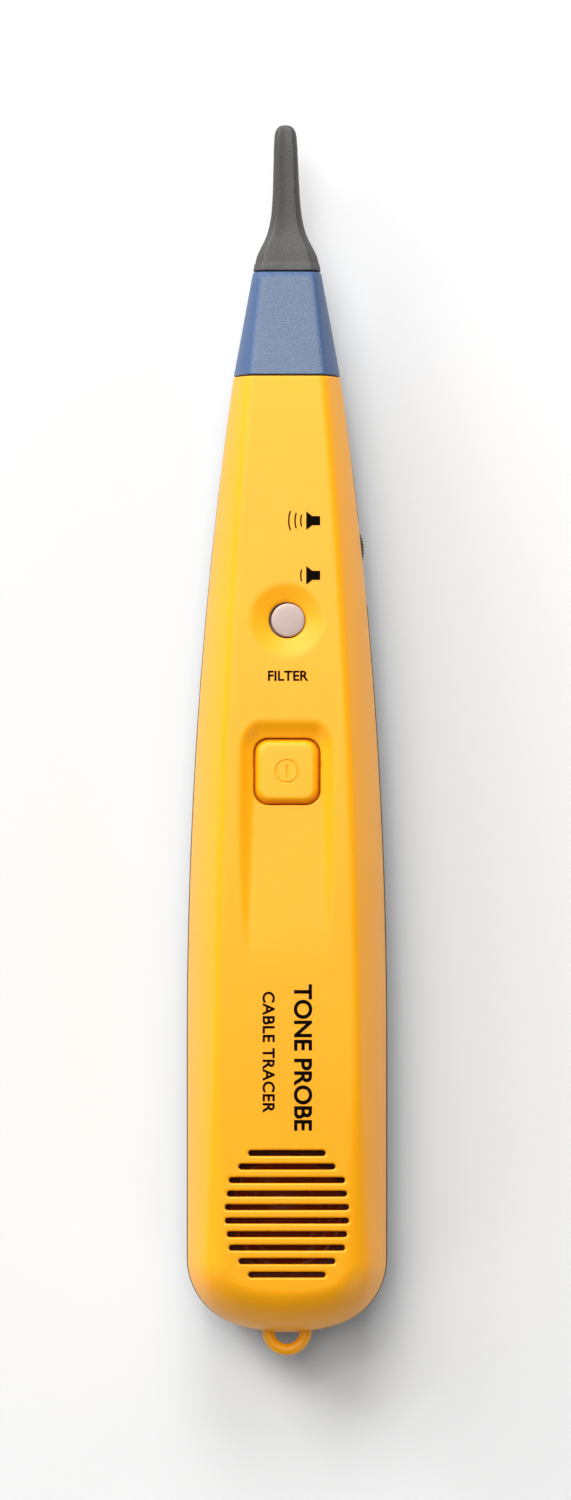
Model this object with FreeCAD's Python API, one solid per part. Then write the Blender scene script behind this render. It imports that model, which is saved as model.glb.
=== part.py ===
"""Hand-held tone probe: an inductive amplifier with a replaceable tip, for tracing a tone along a cable.

Frame: millimetres, +Y towards the tip, +X to the volume wheel's side, +Z up through the front cover.
The probe lies on its back: z = 0 is the flat of the battery door and the rear cover, and the origin
is the middle of the overall length and width on that plane.

The housing is two shells that meet on a level plane, PART_Z. Each is a drafted prism on a plan outline of
tangent arcs, trimmed by a crown (front) or a belly (rear). A blue collar and the conductive tip carry the
same cross-section on to a blunt blade. The heel of the rear shell is the battery door, which slides off.
"""

import FreeCAD
import Part
import math
import os

V = FreeCAD.Vector
X, Y, Z = V(1, 0, 0), V(0, 1, 0), V(0, 0, 1)

# Overall lengths, from heel to tip
LENGTH = 249.0
LOOP_Y = -LENGTH / 2
HEEL_Y = -119.9
SHELL_NOSE_Y = 73.3
COLLAR_NOSE_Y = 94.6
SEAM = 0.25

# Plan outline of the housing: a long arc from nose to shoulder, a straight side, a corner and a heel arc
FRONT_HALF = 20.1
REAR_HALF = 20.3
NOSE_HALF = 10.83
SHOULDER_Y = -60.0
CORNER_RADIUS = 14.0
HEEL_RADIUS = 34.0

# Height: the shells meet at PART_Z, the crown tops out at HEIGHT
HEIGHT = 33.0
PART_Z = 15.0
CROWN_Y = -40.0
CROWN_RADIUS = 750.0
BELLY_Y = -20.0
BELLY_RADIUS = 588.0
FRONT_DRAFT = math.tan(math.radians(18.5))
REAR_DRAFT = math.tan(math.radians(10.0))
TOP_FILLET_SIDE = 2.2
TOP_FILLET_HEEL = 6.5
BOTTOM_FILLET = 4.0
WALL = 2.2

# Tongue and rebate where the shells meet
TONGUE_IN = 1.25
TONGUE_HEIGHT = 1.0
FIT = 0.1

# Front controls
POWER_Y = -6.3
POWER_SIZE = 12.9
POWER_CORNER = 2.7
POWER_GAP = 0.27
POWER_PROUD = 0.9
RECESS_TOP_Y = 1.95
RECESS_FADE_Y = -41.0
RECESS_DEPTH = 1.7
RECESS_HALF = 7.8
RECESS_SPREAD = 1.6
RECESS_SLOPE = 0.75
FILTER_Y = 24.0
FILTER_RADIUS = 3.35
FILTER_HOLE = 3.65
DISH_RADIUS = 7.4
DISH_DEPTH = 1.1
DISH_EDGE = 2.0

# Speaker grille: lengths of the slots from the middle outwards
GRILLE_Y = -94.9
SLOT_PITCH = 2.72
SLOT_WIDTH = 1.28
SLOT_LENGTHS = (24.9, 24.1, 23.3, 19.4, 15.5)

# Volume wheel, at the right edge
WHEEL_X = 7.4
WHEEL_Y = 38.5
WHEEL_RADIUS = 8.3
WHEEL_TEETH = 84
TOOTH_DEPTH = 0.32
WHEEL_Z = (10.4, 13.0)

# Circuit board
BOARD_Y = (-36.0, 57.0)
BOARD_Z = (15.0, 16.6)
BOARD_INSET = 3.4
BOARD_SCREWS = ((-7.0, 50.0), (-12.5, -30.0), (12.5, -30.0))

# Earphone jack, in the left side
JACK_Y = 6.0
JACK_Z = 11.0
JACK_BORE = 1.8
JACK_DEPTH = 12.0
JACK_NOSE_RADIUS = 3.0
JACK_MOUTH_X = -17.4

# Battery, its box and the sliding door
BATTERY = (26.2, 46.4, 17.2)
BATTERY_HEEL_Y = -106.1
BATTERY_FLOOR_Z = 2.5
BOX_HALF = 13.45
BOX_WALL = 1.4
BOX_ROOF_Z = 19.8
BOX_NOSE_Y = -49.9
DOOR_Z = 7.5
DOOR_WALL = 2.0
DOOR_GAP = 0.15

# Housing screws: x, y, height of the seat under the head, top of the shank
CASE_SCREWS = (
    (0.0, 62.0, 10.8, 20.0),
    (-11.0, -42.5, 7.8, 19.0),
    (11.0, -42.5, 7.8, 19.0),
    (-9.0, -111.0, 9.7, 20.0),
    (9.0, -111.0, 9.7, 20.0),
)
SCREW_HEAD = (2.5, 1.7)
SCREW_SHANK = 1.2
SCREW_PILOT = 1.25

# Door rails and latch
RAIL_X = 13.8
RAIL_Z = 4.4
RAIL_Y = (-104.0, -54.0)
LATCH_HALF = 6.0
LATCH_Z = (0.9, 1.9)

# Lanyard eye
EYE_RADIUS = 3.75
EYE_WIRE = 1.2
EYE_Z = 16.3

# Wheel surroundings
SCALLOP_X = 44.0
SCALLOP_RADIUS = 30.0
SHAFT_RADIUS = 1.5

# Travel stops of the buttons
POWER_FLANGE_Z = (26.6, 27.6)
FILTER_FLANGE_Z = (25.3, 26.2)
FILTER_PLUNGER_TOP = 21.3
FILTER_PROUD = 0.5

# Collar: half width and height of its top, widest and bottom corners, at each end
COLLAR_Y = (SHELL_NOSE_Y + SEAM, COLLAR_NOSE_Y)
COLLAR_HEEL = ((7.76, 24.34), (10.78, PART_Z), (9.5, 7.65))
COLLAR_NOSE = ((5.35, 19.5), (6.9, PART_Z), (6.1, 10.6))
SPIGOT = (6.4, 10.5, 20.8)
RIB_Y = (69.0, 70.6)

# Tip: distance along the probe, half width, half thickness
TIP_BAND = ((94.85, 6.8, 4.3), (96.4, 6.5, 4.1))
TIP_BLADE = (
    (96.4, 6.5, 4.1),
    (97.8, 6.1, 3.95),
    (99.9, 5.1, 3.6),
    (102.5, 3.9, 3.2),
    (106.1, 3.1, 2.8),
    (110.7, 2.72, 2.5),
    (116.8, 2.5, 2.2),
    (122.0, 2.27, 1.9),
    (123.6, 1.8, 1.45),
    (124.5, 0.7, 0.5),
)
STEM_RADIUS = 3.0
STEM_Y = 84.0
PIN_RADIUS = 1.0

# Speaker
SPEAKER_RADIUS = 13.4
SPEAKER_SEAT_Z = 27.2
GASKET_THICKNESS = 0.6
SPEAKER_BACK_Z = 21.6


# ---------------------------------------------------------------- helpers


def box(x0, x1, y0, y1, z0, z1):
    """Block between two corners."""
    return Part.makeBox(x1 - x0, y1 - y0, z1 - z0, V(x0, y0, z0))


def rod(radius, start, end):
    """Cylinder from one point to another."""
    return Part.makeCylinder(radius, start.distanceToPoint(end), start, end - start)


def post(x, y, radius, z0, z1):
    """Upright cylinder."""
    return rod(radius, V(x, y, z0), V(x, y, z1))


def joined(*shapes):
    """One solid from overlapping shapes."""
    return shapes[0].fuse(list(shapes[1:])).removeSplitter()


def rounded_wire(x0, x1, y0, y1, radius, z):
    """Rounded rectangle in a level plane."""
    k = radius * (1 - math.sqrt(0.5))
    edges = []
    corners = ((x1, y1, -1, -1), (x0, y1, 1, -1), (x0, y0, 1, 1), (x1, y0, -1, 1))
    arcs = []
    for i, (cx, cy, sx, sy) in enumerate(corners):
        a, b = V(cx, cy + sy * radius, z), V(cx + sx * radius, cy, z)
        if i % 2:
            a, b = b, a
        arcs.append((a, V(cx + sx * k, cy + sy * k, z), b))
    for i, (a, middle, b) in enumerate(arcs):
        edges.append(Part.Arc(a, middle, b).toShape())
        edges.append(Part.makeLine(b, arcs[(i + 1) % 4][0]))
    return Part.Wire(edges)


def slab(x0, x1, y0, y1, radius, z0, z1):
    """Upright prism on a rounded rectangle."""
    return Part.Face(rounded_wire(x0, x1, y0, y1, radius, z0)).extrude(V(0, 0, z1 - z0))


def turned(points, at):
    """Solid turned about the upright axis through at, from a closed outline of (radius, z)."""
    outline = Part.makePolygon([V(at.x + r, at.y, z) for r, z in list(points) + [points[0]]])
    return Part.Face(outline).revolve(at, Z, 360)


def edges_where(shape, test):
    """Edges whose two ends and middle all pass the test."""
    found = []
    for e in shape.Edges:
        middle = e.valueAt((e.FirstParameter + e.LastParameter) / 2)
        if all(test(p) for p in [v.Point for v in e.Vertexes] + [middle]):
            found.append(e)
    return found


# ---------------------------------------------------------------- housing forms


def plan_wire(half, inset, z, nose_y=SHELL_NOSE_Y):
    """Housing outline in plan, moved in by inset, at height z: eight edges, tangent but at the nose."""
    reach = SHELL_NOSE_Y - SHOULDER_Y
    drop = half - NOSE_HALF
    side = (reach**2 + drop**2) / (2 * drop)
    side_x = half - side

    def on_side(y):
        return side_x + math.sqrt((side - inset) ** 2 - (y - SHOULDER_Y) ** 2)

    corner_x = half - CORNER_RADIUS
    corner_y = HEEL_Y + HEEL_RADIUS - math.sqrt((HEEL_RADIUS - CORNER_RADIUS) ** 2 - corner_x**2)
    turn = math.atan2(corner_x, HEEL_Y + HEEL_RADIUS - corner_y)
    r = CORNER_RADIUS - inset
    flat = half - inset
    middle_y = (nose_y + SHOULDER_Y) / 2
    halfway = (math.pi / 2 + turn) / 2
    right = [
        V(on_side(nose_y), nose_y, z),
        V(on_side(middle_y), middle_y, z),
        V(flat, SHOULDER_Y, z),
        V(flat, corner_y, z),
        V(corner_x + r * math.sin(halfway), corner_y - r * math.cos(halfway), z),
        V(corner_x + r * math.sin(turn), corner_y - r * math.cos(turn), z),
    ]
    left = [V(-p.x, p.y, z) for p in right]
    heel = V(0, HEEL_Y + inset, z)
    return Part.Wire(
        [
            Part.makeLine(left[0], right[0]),
            Part.Arc(right[0], right[1], right[2]).toShape(),
            Part.makeLine(right[2], right[3]),
            Part.Arc(right[3], right[4], right[5]).toShape(),
            Part.Arc(right[5], heel, left[5]).toShape(),
            Part.Arc(left[5], left[4], left[3]).toShape(),
            Part.makeLine(left[3], left[2]),
            Part.Arc(left[2], left[1], left[0]).toShape(),
        ]
    )


def drafted(half, inset, draft, z_from, z_to, nose_y=SHELL_NOSE_Y):
    """Prism on the plan outline whose walls lean in by draft as they leave PART_Z."""
    wires = [plan_wire(half, inset + draft * abs(z - PART_Z), z, nose_y) for z in (z_from, z_to)]
    return Part.makeLoft(wires, True, True)


def ring(half, inset, thickness, z0, z1):
    """Upright band that follows the plan outline, closed across the nose."""
    solids = []
    for i in (inset, inset + thickness):
        face = Part.Face(plan_wire(half, i, z0, SHELL_NOSE_Y - i))
        solids.append(face.extrude(V(0, 0, z1 - z0)))
    return solids[0].cut(solids[1])


def crown_z(y, lower=0.0):
    """Height of the front face at y, or of the surface that lies lower than it."""
    r = CROWN_RADIUS - lower
    return HEIGHT - CROWN_RADIUS + math.sqrt(r**2 - (y - CROWN_Y) ** 2)


def belly_z(y):
    """Height of the back face at y."""
    return 0.0 if y < BELLY_Y else BELLY_RADIUS - math.sqrt(BELLY_RADIUS**2 - (y - BELLY_Y) ** 2)


def side_block(edges):
    """Block whose side view is the closed outline edges, across the full width."""
    return Part.Face(Part.Wire(edges)).extrude(V(60, 0, 0))


def under_crown(lower):
    """Everything below the front face, or below the surface that lies lower than it."""
    x, heel, nose, floor = -30, HEEL_Y - 10, SHELL_NOSE_Y + 5, PART_Z - 5
    a, b = V(x, heel, crown_z(heel, lower)), V(x, nose, crown_z(nose, lower))
    top = Part.Arc(a, V(x, CROWN_Y, HEIGHT - lower), b).toShape()
    c, d = V(x, nose, floor), V(x, heel, floor)
    return side_block([top, Part.makeLine(b, c), Part.makeLine(c, d), Part.makeLine(d, a)])


def over_belly(higher):
    """Everything above the back face, or above the surface that lies higher than it."""
    x, heel, nose, roof = -30, HEEL_Y - 10, SHELL_NOSE_Y + 5, PART_Z + 5
    r = BELLY_RADIUS - higher

    def lift(y):
        return BELLY_RADIUS - math.sqrt(r**2 - (y - BELLY_Y) ** 2)

    middle = (BELLY_Y + nose) / 2
    a, b, c = V(x, heel, higher), V(x, BELLY_Y, higher), V(x, nose, lift(nose))
    d, e = V(x, nose, roof), V(x, heel, roof)
    rise = Part.Arc(b, V(x, middle, lift(middle)), c).toShape()
    lines = [Part.makeLine(p, q) for p, q in ((a, b), (c, d), (d, e), (e, a))]
    return side_block([lines[0], rise] + lines[1:])


def fillet_each(shape, radii):
    """Fillets edges whose radius changes along them. Rows: (edge, radius at its heel end, at its nose end)."""
    document = FreeCAD.newDocument()
    base = document.addObject("Part::Feature", "Base")
    base.Shape = shape
    feature = document.addObject("Part::Fillet", "Fillet")
    feature.Base = base
    rows = []
    for edge, at_heel, at_nose in radii:
        index = next(i for i, e in enumerate(shape.Edges) if e.isSame(edge))
        first, last = edge.valueAt(edge.FirstParameter), edge.valueAt(edge.LastParameter)
        rows.append((index + 1, at_heel, at_nose) if first.y < last.y else (index + 1, at_nose, at_heel))
    feature.Edges = rows
    document.recompute()
    result = feature.Shape.copy()
    FreeCAD.closeDocument(document.Name)
    return result


def front_form():
    """Outer shape of the front cover, solid: tight edges along the sides that swell round the heel."""
    top = PART_Z + 20
    form = drafted(FRONT_HALF, 0, FRONT_DRAFT, PART_Z, top).common(under_crown(0))

    def on_top(p):
        return abs(p.z - crown_z(p.y)) < 0.02

    radii = []
    for edge in edges_where(form, on_top):
        ys = sorted(v.Point.y for v in edge.Vertexes)
        if ys[0] > SHELL_NOSE_Y - 0.1:
            continue
        at_heel = at_nose = TOP_FILLET_SIDE
        if ys[0] < SHOULDER_Y - 10:
            at_heel = TOP_FILLET_HEEL * 0.6
        if ys[1] < SHOULDER_Y - 10:
            at_nose, at_heel = TOP_FILLET_HEEL * 0.6, TOP_FILLET_HEEL
        if abs(ys[1] - ys[0]) < 0.5:
            at_nose = at_heel = TOP_FILLET_HEEL
        radii.append((edge, at_heel, at_nose))
    return fillet_each(form, radii)


def front_cavity():
    """Inside of the front cover, open at the parting plane and the nose."""
    low = PART_Z - 0.5
    wires = []
    for z in (low, PART_Z + 20):
        wires.append(plan_wire(FRONT_HALF, WALL + FRONT_DRAFT * (z - PART_Z), z, SHELL_NOSE_Y + 1))
    return Part.makeLoft(wires, True, True).common(under_crown(WALL))


def rear_form(inset=0.0, fillet=BOTTOM_FILLET):
    """Shape of the rear cover and the door together, solid, or of their inside when inset."""
    nose = SHELL_NOSE_Y if inset == 0 else SHELL_NOSE_Y + 1
    top = PART_Z if inset == 0 else PART_Z + 0.5
    wires = []
    for z in (top, PART_Z - 18):
        wires.append(plan_wire(REAR_HALF, inset + REAR_DRAFT * (PART_Z - z), z, nose))
    form = Part.makeLoft(wires, True, True).common(over_belly(inset))

    def on_belly(p):
        return p.z < belly_z(p.y) + inset + 0.4 and p.z < 12

    low = [e for e in edges_where(form, on_belly) if e.BoundBox.YLength > 3 or e.BoundBox.YMin < HEEL_Y + 20]
    return form.makeFillet(fillet, [e for e in low if abs(e.valueAt(e.FirstParameter).x) > 0.1])


# ---------------------------------------------------------------- front cover


def recess_slope():
    """Rise of the power button's recess floor for each millimetre towards the tip (it falls)."""
    start = crown_z(RECESS_TOP_Y) - RECESS_DEPTH
    return (start - crown_z(RECESS_FADE_Y)) / (RECESS_TOP_Y - RECESS_FADE_Y)


def recess_floor_z(y):
    """Height of the recess floor, a plane that meets the crown where the recess fades out."""
    return crown_z(RECESS_TOP_Y) - RECESS_DEPTH + recess_slope() * (y - RECESS_TOP_Y)


def tilted(shape):
    """Shape drawn on a level floor, laid on the recess floor instead."""
    shape.translate(V(0, -RECESS_TOP_Y, 0))
    shape.rotate(V(0, 0, 0), X, math.degrees(math.atan(recess_slope())))
    shape.translate(V(0, RECESS_TOP_Y, recess_floor_z(RECESS_TOP_Y)))
    return shape


def recess_tool():
    """Material removed for the recess: sloped walls round a floor that widens as it fades."""
    wires = []
    for z in (0.0, 4.0):
        g = z * RECESS_SLOPE
        r = 1.6 + g
        near, far = RECESS_HALF + g, RECESS_HALF + RECESS_SPREAD + g
        top, bottom = RECESS_TOP_Y + g, RECESS_FADE_Y - 6.0
        k = r * (1 - math.sqrt(0.5))
        p = [V(near, top - r, z), V(near - k, top - k, z), V(near - r, top, z)]
        q = [V(-v.x, v.y, z) for v in p]
        wires.append(
            Part.Wire(
                [
                    Part.makeLine(V(far, bottom, z), p[0]),
                    Part.Arc(p[0], p[1], p[2]).toShape(),
                    Part.makeLine(p[2], q[2]),
                    Part.Arc(q[2], q[1], q[0]).toShape(),
                    Part.makeLine(q[0], V(-far, bottom, z)),
                    Part.makeLine(V(-far, bottom, z), V(far, bottom, z)),
                ]
            )
        )
    tool = Part.makeLoft(wires, True, True)
    low = edges_where(tool, lambda v: v.z < 0.01 and v.y > RECESS_FADE_Y - 6.1)
    return tilted(tool.makeFillet(1.3, [e for e in low if e.BoundBox.YMax > RECESS_FADE_Y]))


def speaker_seat():
    """Ring under the grille that the speaker's gasket seats on, and a guard ring round the speaker."""
    seat = post(0, GRILLE_Y, SPEAKER_RADIUS + 1.6, SPEAKER_SEAT_Z, HEIGHT)
    seat = seat.cut(post(0, GRILLE_Y, 12.6, SPEAKER_SEAT_Z - 1, HEIGHT + 1))
    guard = post(0, GRILLE_Y, SPEAKER_RADIUS + 1.6, SPEAKER_SEAT_Z - 2.4, SPEAKER_SEAT_Z + 0.1)
    return seat.fuse(guard.cut(post(0, GRILLE_Y, SPEAKER_RADIUS + 0.15, SPEAKER_SEAT_Z - 4, HEIGHT)))


def nose_rib(z0, z1):
    """Plate across the nose that grips the collar's spigot."""
    w, low, high = SPIGOT
    plate = box(-20, 20, RIB_Y[0], RIB_Y[1], z0, z1)
    return plate.cut(box(-w - 0.1, w + 0.1, RIB_Y[0] - 1, RIB_Y[1] + 1, low - 0.1, high + 0.1))


def make_front_cover():
    """Yellow upper shell with the grille, the button openings and the lanyard loop."""
    cavity = front_cavity()
    dish_z = crown_z(FILTER_Y) - DISH_DEPTH
    dish_radius = (DISH_RADIUS**2 + DISH_DEPTH**2) / (2 * DISH_DEPTH)
    lean = (FILTER_Y - CROWN_Y) / CROWN_RADIUS
    hub = V(0, FILTER_Y, crown_z(FILTER_Y)) + V(0, lean, math.sqrt(1 - lean**2)) * (dish_radius - DISH_DEPTH)
    form = front_form().cut(Part.makeSphere(dish_radius, hub))
    rim = edges_where(form, lambda v: v.distanceToPoint(V(0, FILTER_Y, dish_z)) < DISH_RADIUS + 1.0)
    shell = form.makeFillet(DISH_EDGE, rim).cut(cavity)
    inside = [
        tilted(slab(-RECESS_HALF - 3.2, RECESS_HALF + 3.2, -34.0, RECESS_TOP_Y + 3.2, 3.0, -1.9, 6.0)),
        post(0, FILTER_Y, DISH_RADIUS + 0.6, dish_z - 2.0, HEIGHT),
        speaker_seat(),
        nose_rib(PART_Z + 0.1, HEIGHT),
    ]
    for x, y, _, _ in CASE_SCREWS:
        inside.append(post(x, y, 2.8, PART_Z + 0.1, HEIGHT))
    for x, y in BOARD_SCREWS:
        inside.append(post(x, y, 2.4, BOARD_Z[1], HEIGHT))
    eye = Part.makeTorus(EYE_RADIUS, EYE_WIRE, V(0, LOOP_Y + EYE_RADIUS + EYE_WIRE, EYE_Z))
    shell = joined(shell, *[piece.common(cavity) for piece in inside], eye.cut(cavity))

    g = POWER_SIZE / 2 + POWER_GAP
    cuts = [
        recess_tool(),
        post(0, FILTER_Y, FILTER_HOLE, PART_Z + 2, HEIGHT),
        ring(
            FRONT_HALF, TONGUE_IN - FIT, WALL - TONGUE_IN + FIT + 0.01, PART_Z - 1, PART_Z + TONGUE_HEIGHT + FIT
        ),
        slab(-g, g, POWER_Y - g, POWER_Y + g, POWER_CORNER + POWER_GAP, PART_Z + 2, HEIGHT),
    ]
    r = SLOT_WIDTH / 2
    for i, length in enumerate(SLOT_LENGTHS):
        for side in (-1, 1):
            y = GRILLE_Y + side * (i + 0.5) * SLOT_PITCH
            cuts.append(slab(-length / 2, length / 2, y - r, y + r, r * 0.99, PART_Z + 6, HEIGHT + 1))
    for x, y, _, top in CASE_SCREWS:
        cuts.append(post(x, y, SCREW_PILOT, PART_Z - 1, top + 1.0))
    for x, y in BOARD_SCREWS:
        cuts.append(post(x, y, 0.85, BOARD_Z[0], BOARD_Z[1] + 5.5))
    return shell.cut(cuts)


# ---------------------------------------------------------------- rear cover and battery door


def door_space(gap):
    """The space the door fills, less gap at its top and nose edges."""
    return box(-30, 30, HEEL_Y - 5, BOX_NOSE_Y - gap, -5, DOOR_Z - gap)


def rail(side, y0, y1):
    """Hooked rail under the deck that carries the door on one side."""
    web = box(RAIL_X, RAIL_X + 0.9, y0, y1, RAIL_Z, DOOR_Z + 0.5)
    foot = box(RAIL_X, RAIL_X + 1.9, y0, y1, RAIL_Z, RAIL_Z + 1.1)
    shape = web.fuse(foot)
    return shape if side > 0 else shape.mirror(V(0, 0, 0), X)


def make_rear_cover():
    """Dark lower shell: battery box, deck and rails at the heel, wheel slot and jack opening at the sides."""
    solid, hollow = rear_form(), rear_form(WALL, 2.0)
    shell = solid.cut(hollow)
    box_out, box_y = BOX_HALF + BOX_WALL, BOX_NOSE_Y + BOX_WALL
    heel_out = BATTERY_HEEL_Y - 0.4 - BOX_WALL
    latch_out = LATCH_HALF + 0.3
    inside = [
        box(-30, 30, HEEL_Y - 1, box_y, DOOR_Z, DOOR_Z + BOX_WALL),
        box(-30, 30, BOX_NOSE_Y, box_y, -1, DOOR_Z + BOX_WALL),
        nose_rib(0, PART_Z),
    ]
    for x, y, _, _ in CASE_SCREWS:
        inside.append(post(x, y, 3.7, DOOR_Z if y < BOX_NOSE_Y else -1, PART_Z))
    whole = solid.common(hollow)
    shell = joined(shell, *[piece.common(whole) for piece in inside])
    cell = box(-box_out, box_out, heel_out, box_y, DOOR_Z, BOX_ROOF_Z + BOX_WALL)
    tongue = ring(REAR_HALF, TONGUE_IN + 0.2, WALL - TONGUE_IN - 0.2, PART_Z - 0.5, PART_Z + TONGUE_HEIGHT)
    tongue = tongue.cut(box(-12, 12, SHELL_NOSE_Y - 4.5, SHELL_NOSE_Y, 0, HEIGHT))
    shell = joined(shell, cell, tongue)

    cuts = [
        door_space(0),
        box(-BOX_HALF, BOX_HALF, BATTERY_HEEL_Y - 0.4, BOX_NOSE_Y, -1, BOX_ROOF_Z),
        post(WHEEL_X, WHEEL_Y, WHEEL_RADIUS + 0.5, WHEEL_Z[0] - 0.5, WHEEL_Z[1] + 0.5),
        post(SCALLOP_X, WHEEL_Y, SCALLOP_RADIUS, WHEEL_Z[0] - 4.0, PART_Z + 0.1),
        rod(
            JACK_NOSE_RADIUS + 0.15, V(JACK_MOUTH_X - 3, JACK_Y, JACK_Z), V(JACK_MOUTH_X + 5, JACK_Y, JACK_Z)
        ),
        box(-latch_out, latch_out, BOX_NOSE_Y - 1, box_y + 1, LATCH_Z[0] - 0.3, LATCH_Z[1] + 0.3),
        box(2.0, 6.2, BOX_NOSE_Y - 1, box_y + 1, 15.0, 18.6),
    ]
    for x, y, seat, _ in CASE_SCREWS:
        cuts.append(post(x, y, SCREW_HEAD[0] + 0.3, -1, seat))
        cuts.append(post(x, y, SCREW_SHANK + 0.3, seat - 1, PART_Z + 1))
    shell = shell.cut(cuts)
    return joined(shell, *[rail(side, RAIL_Y[0], RAIL_Y[1]) for side in (-1, 1)])


def make_battery_door():
    """Heel of the rear shell: slides off along its rails, with a latch tongue and a ribbed thumb pad."""
    solid = rear_form().common(door_space(DOOR_GAP))
    hollow = rear_form(DOOR_WALL, 2.0)
    door = solid.cut(hollow.cut(box(-30, 30, BOX_NOSE_Y - DOOR_GAP - DOOR_WALL, 0, -1, 20)))
    ledges = []
    for side in (-1, 1):
        low, high = RAIL_Z + 1.1 + 0.2, DOOR_Z - 0.45
        ledge = box(RAIL_X + 1.1, RAIL_X + 4.0, RAIL_Y[0], RAIL_Y[1] - 1, low, high)
        ledges.append((ledge if side > 0 else ledge.mirror(V(0, 0, 0), X)).common(solid))
    ledges.append(box(-LATCH_HALF, LATCH_HALF, BOX_NOSE_Y - 2, BOX_NOSE_Y + BOX_WALL + 0.3, *LATCH_Z))
    door = joined(door, *ledges)
    nose_wall = BOX_NOSE_Y - DOOR_GAP
    cuts = [
        box(-BOX_HALF, BOX_HALF, nose_wall - DOOR_WALL - 0.1, nose_wall + 0.1, DOOR_WALL, 20),
        box(RAIL_X - 0.4, RAIL_X + 2.3, nose_wall - DOOR_WALL - 0.1, nose_wall + 0.1, RAIL_Z - 0.3, 20),
        box(-RAIL_X - 2.3, -RAIL_X + 0.4, nose_wall - DOOR_WALL - 0.1, nose_wall + 0.1, RAIL_Z - 0.3, 20),
    ]
    for i in range(7):
        y = BOX_NOSE_Y - 8.0 - i * 2.0
        half = 8.0 - abs(i - 3) * 0.9
        cuts.append(rod(0.6, V(-half, y, -0.1), V(half, y, -0.1)))
    return door.cut(cuts)


# ---------------------------------------------------------------- collar and tip


def nose_section(y, inset):
    """Six-sided cross-section of the collar at y, tapering from the housing's nose to the tip."""
    t = (y - COLLAR_Y[0]) / (COLLAR_Y[1] - COLLAR_Y[0])
    points = []
    for (x0, z0), (x1, z1) in zip(COLLAR_HEEL, COLLAR_NOSE):
        points.append((x0 + (x1 - x0) * t, z0 + (z1 - z0) * t))
    (tx, tz), (mx, mz), (bx, bz) = points
    ring_points = [
        (tx - inset * 0.72, tz - inset),
        (mx - inset * 1.05, mz),
        (bx - inset * 0.84, bz + inset),
    ]
    loop = ring_points + [(-x, z) for x, z in reversed(ring_points)]
    return Part.makePolygon([V(x, y, z) for x, z in loop + [loop[0]]])


def make_nose_collar():
    """Blue tapered collar with a spigot that the shells grip and a bored front wall that holds the tip."""
    y0, y1 = COLLAR_Y
    form = Part.makeLoft([nose_section(y0, 0), nose_section(y1, 0)], True, True)
    long_edges = [e for e in form.Edges if e.BoundBox.YLength > 10]
    top_and_bottom = [e for e in long_edges if abs(e.valueAt(e.FirstParameter).z - PART_Z) > 1]
    form = form.makeFillet(1.1, top_and_bottom)
    w, low, high = SPIGOT
    lip = box(-w - 0.4, w + 0.4, RIB_Y[0] - 2.1, RIB_Y[0] - 0.2, low - 0.7, high + 0.7)
    form = joined(form, box(-w, w, RIB_Y[0] - 2.1, y0 + 1.0, low, high), lip)
    room = Part.makeLoft([nose_section(80.0, 2.0), nose_section(90.5, 1.8)], True, True)
    cuts = [
        box(-w + 1.4, w - 1.4, RIB_Y[0] - 3, 78.0, low + 1.4, high - 1.4),
        room,
        rod(STEM_RADIUS + 0.05, V(0, 89, PART_Z), V(0, y1 + 1, PART_Z)),
        rod(PIN_RADIUS, V(0, 77, PART_Z), V(0, 81, PART_Z)),
    ]
    return form.cut(cuts)


def tip_section(y, half, thick):
    """Rounded rectangle across the tip."""
    wire = rounded_wire(-half, half, -thick, thick, 0.62 * min(half, thick), 0)
    wire.rotate(V(0, 0, 0), X, 90)
    wire.translate(V(0, y, PART_Z))
    return wire


def make_probe_tip():
    """Dark conductive tip: base band, concave flare, flat blade with a blunt end, and a hollow stem."""
    band = Part.makeLoft([tip_section(*s) for s in TIP_BAND], True, True)
    blade = Part.makeLoft([tip_section(*s) for s in TIP_BLADE], True, False)
    stem = rod(STEM_RADIUS, V(0, STEM_Y, PART_Z), V(0, TIP_BAND[0][0] + 1, PART_Z))
    return joined(band, blade, stem).cut(rod(PIN_RADIUS + 0.05, V(0, STEM_Y - 1, PART_Z), V(0, 93.0, PART_Z)))


def make_tip_contact_pin():
    """Brass pin that the tip's stem slides over."""
    shank = rod(PIN_RADIUS, V(0, 76.5, PART_Z), V(0, 90.6, PART_Z))
    nose = Part.makeCone(PIN_RADIUS, 0.5, 0.8, V(0, 90.6, PART_Z), Y)
    head = rod(1.6, V(0, 76.8, PART_Z), V(0, 78.0, PART_Z))
    return joined(shank, nose, head)


# ---------------------------------------------------------------- controls


def make_power_button():
    """Square power button, its face parallel to the recess floor, with a sunk ring and bar."""
    h = POWER_SIZE / 2
    cap = slab(-h, h, POWER_Y - h, POWER_Y + h, POWER_CORNER, POWER_FLANGE_Z[0], HEIGHT + 2)
    face = tilted(box(-20, 20, -40, 20, POWER_PROUD, 20))
    cap = cap.cut(face)
    rim = [e for e in cap.Edges if e.BoundBox.ZMin > POWER_FLANGE_Z[1] + 1 and e.BoundBox.ZLength < 1.5]
    cap = cap.makeFillet(0.9, rim)
    f = h + 1.2
    flange = slab(-f, f, POWER_Y - f, POWER_Y + f, POWER_CORNER + 1.0, *POWER_FLANGE_Z)
    ring_mark = Part.makeCylinder(2.45, 1, V(0, POWER_Y, POWER_PROUD - 0.2))
    ring_mark = ring_mark.cut(Part.makeCylinder(2.05, 2, V(0, POWER_Y, POWER_PROUD - 0.5)))
    bar = box(-0.2, 0.2, POWER_Y - 1.45, POWER_Y + 1.45, POWER_PROUD - 0.2, POWER_PROUD + 1)
    return joined(cap, flange).cut([tilted(ring_mark), tilted(bar)])


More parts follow.
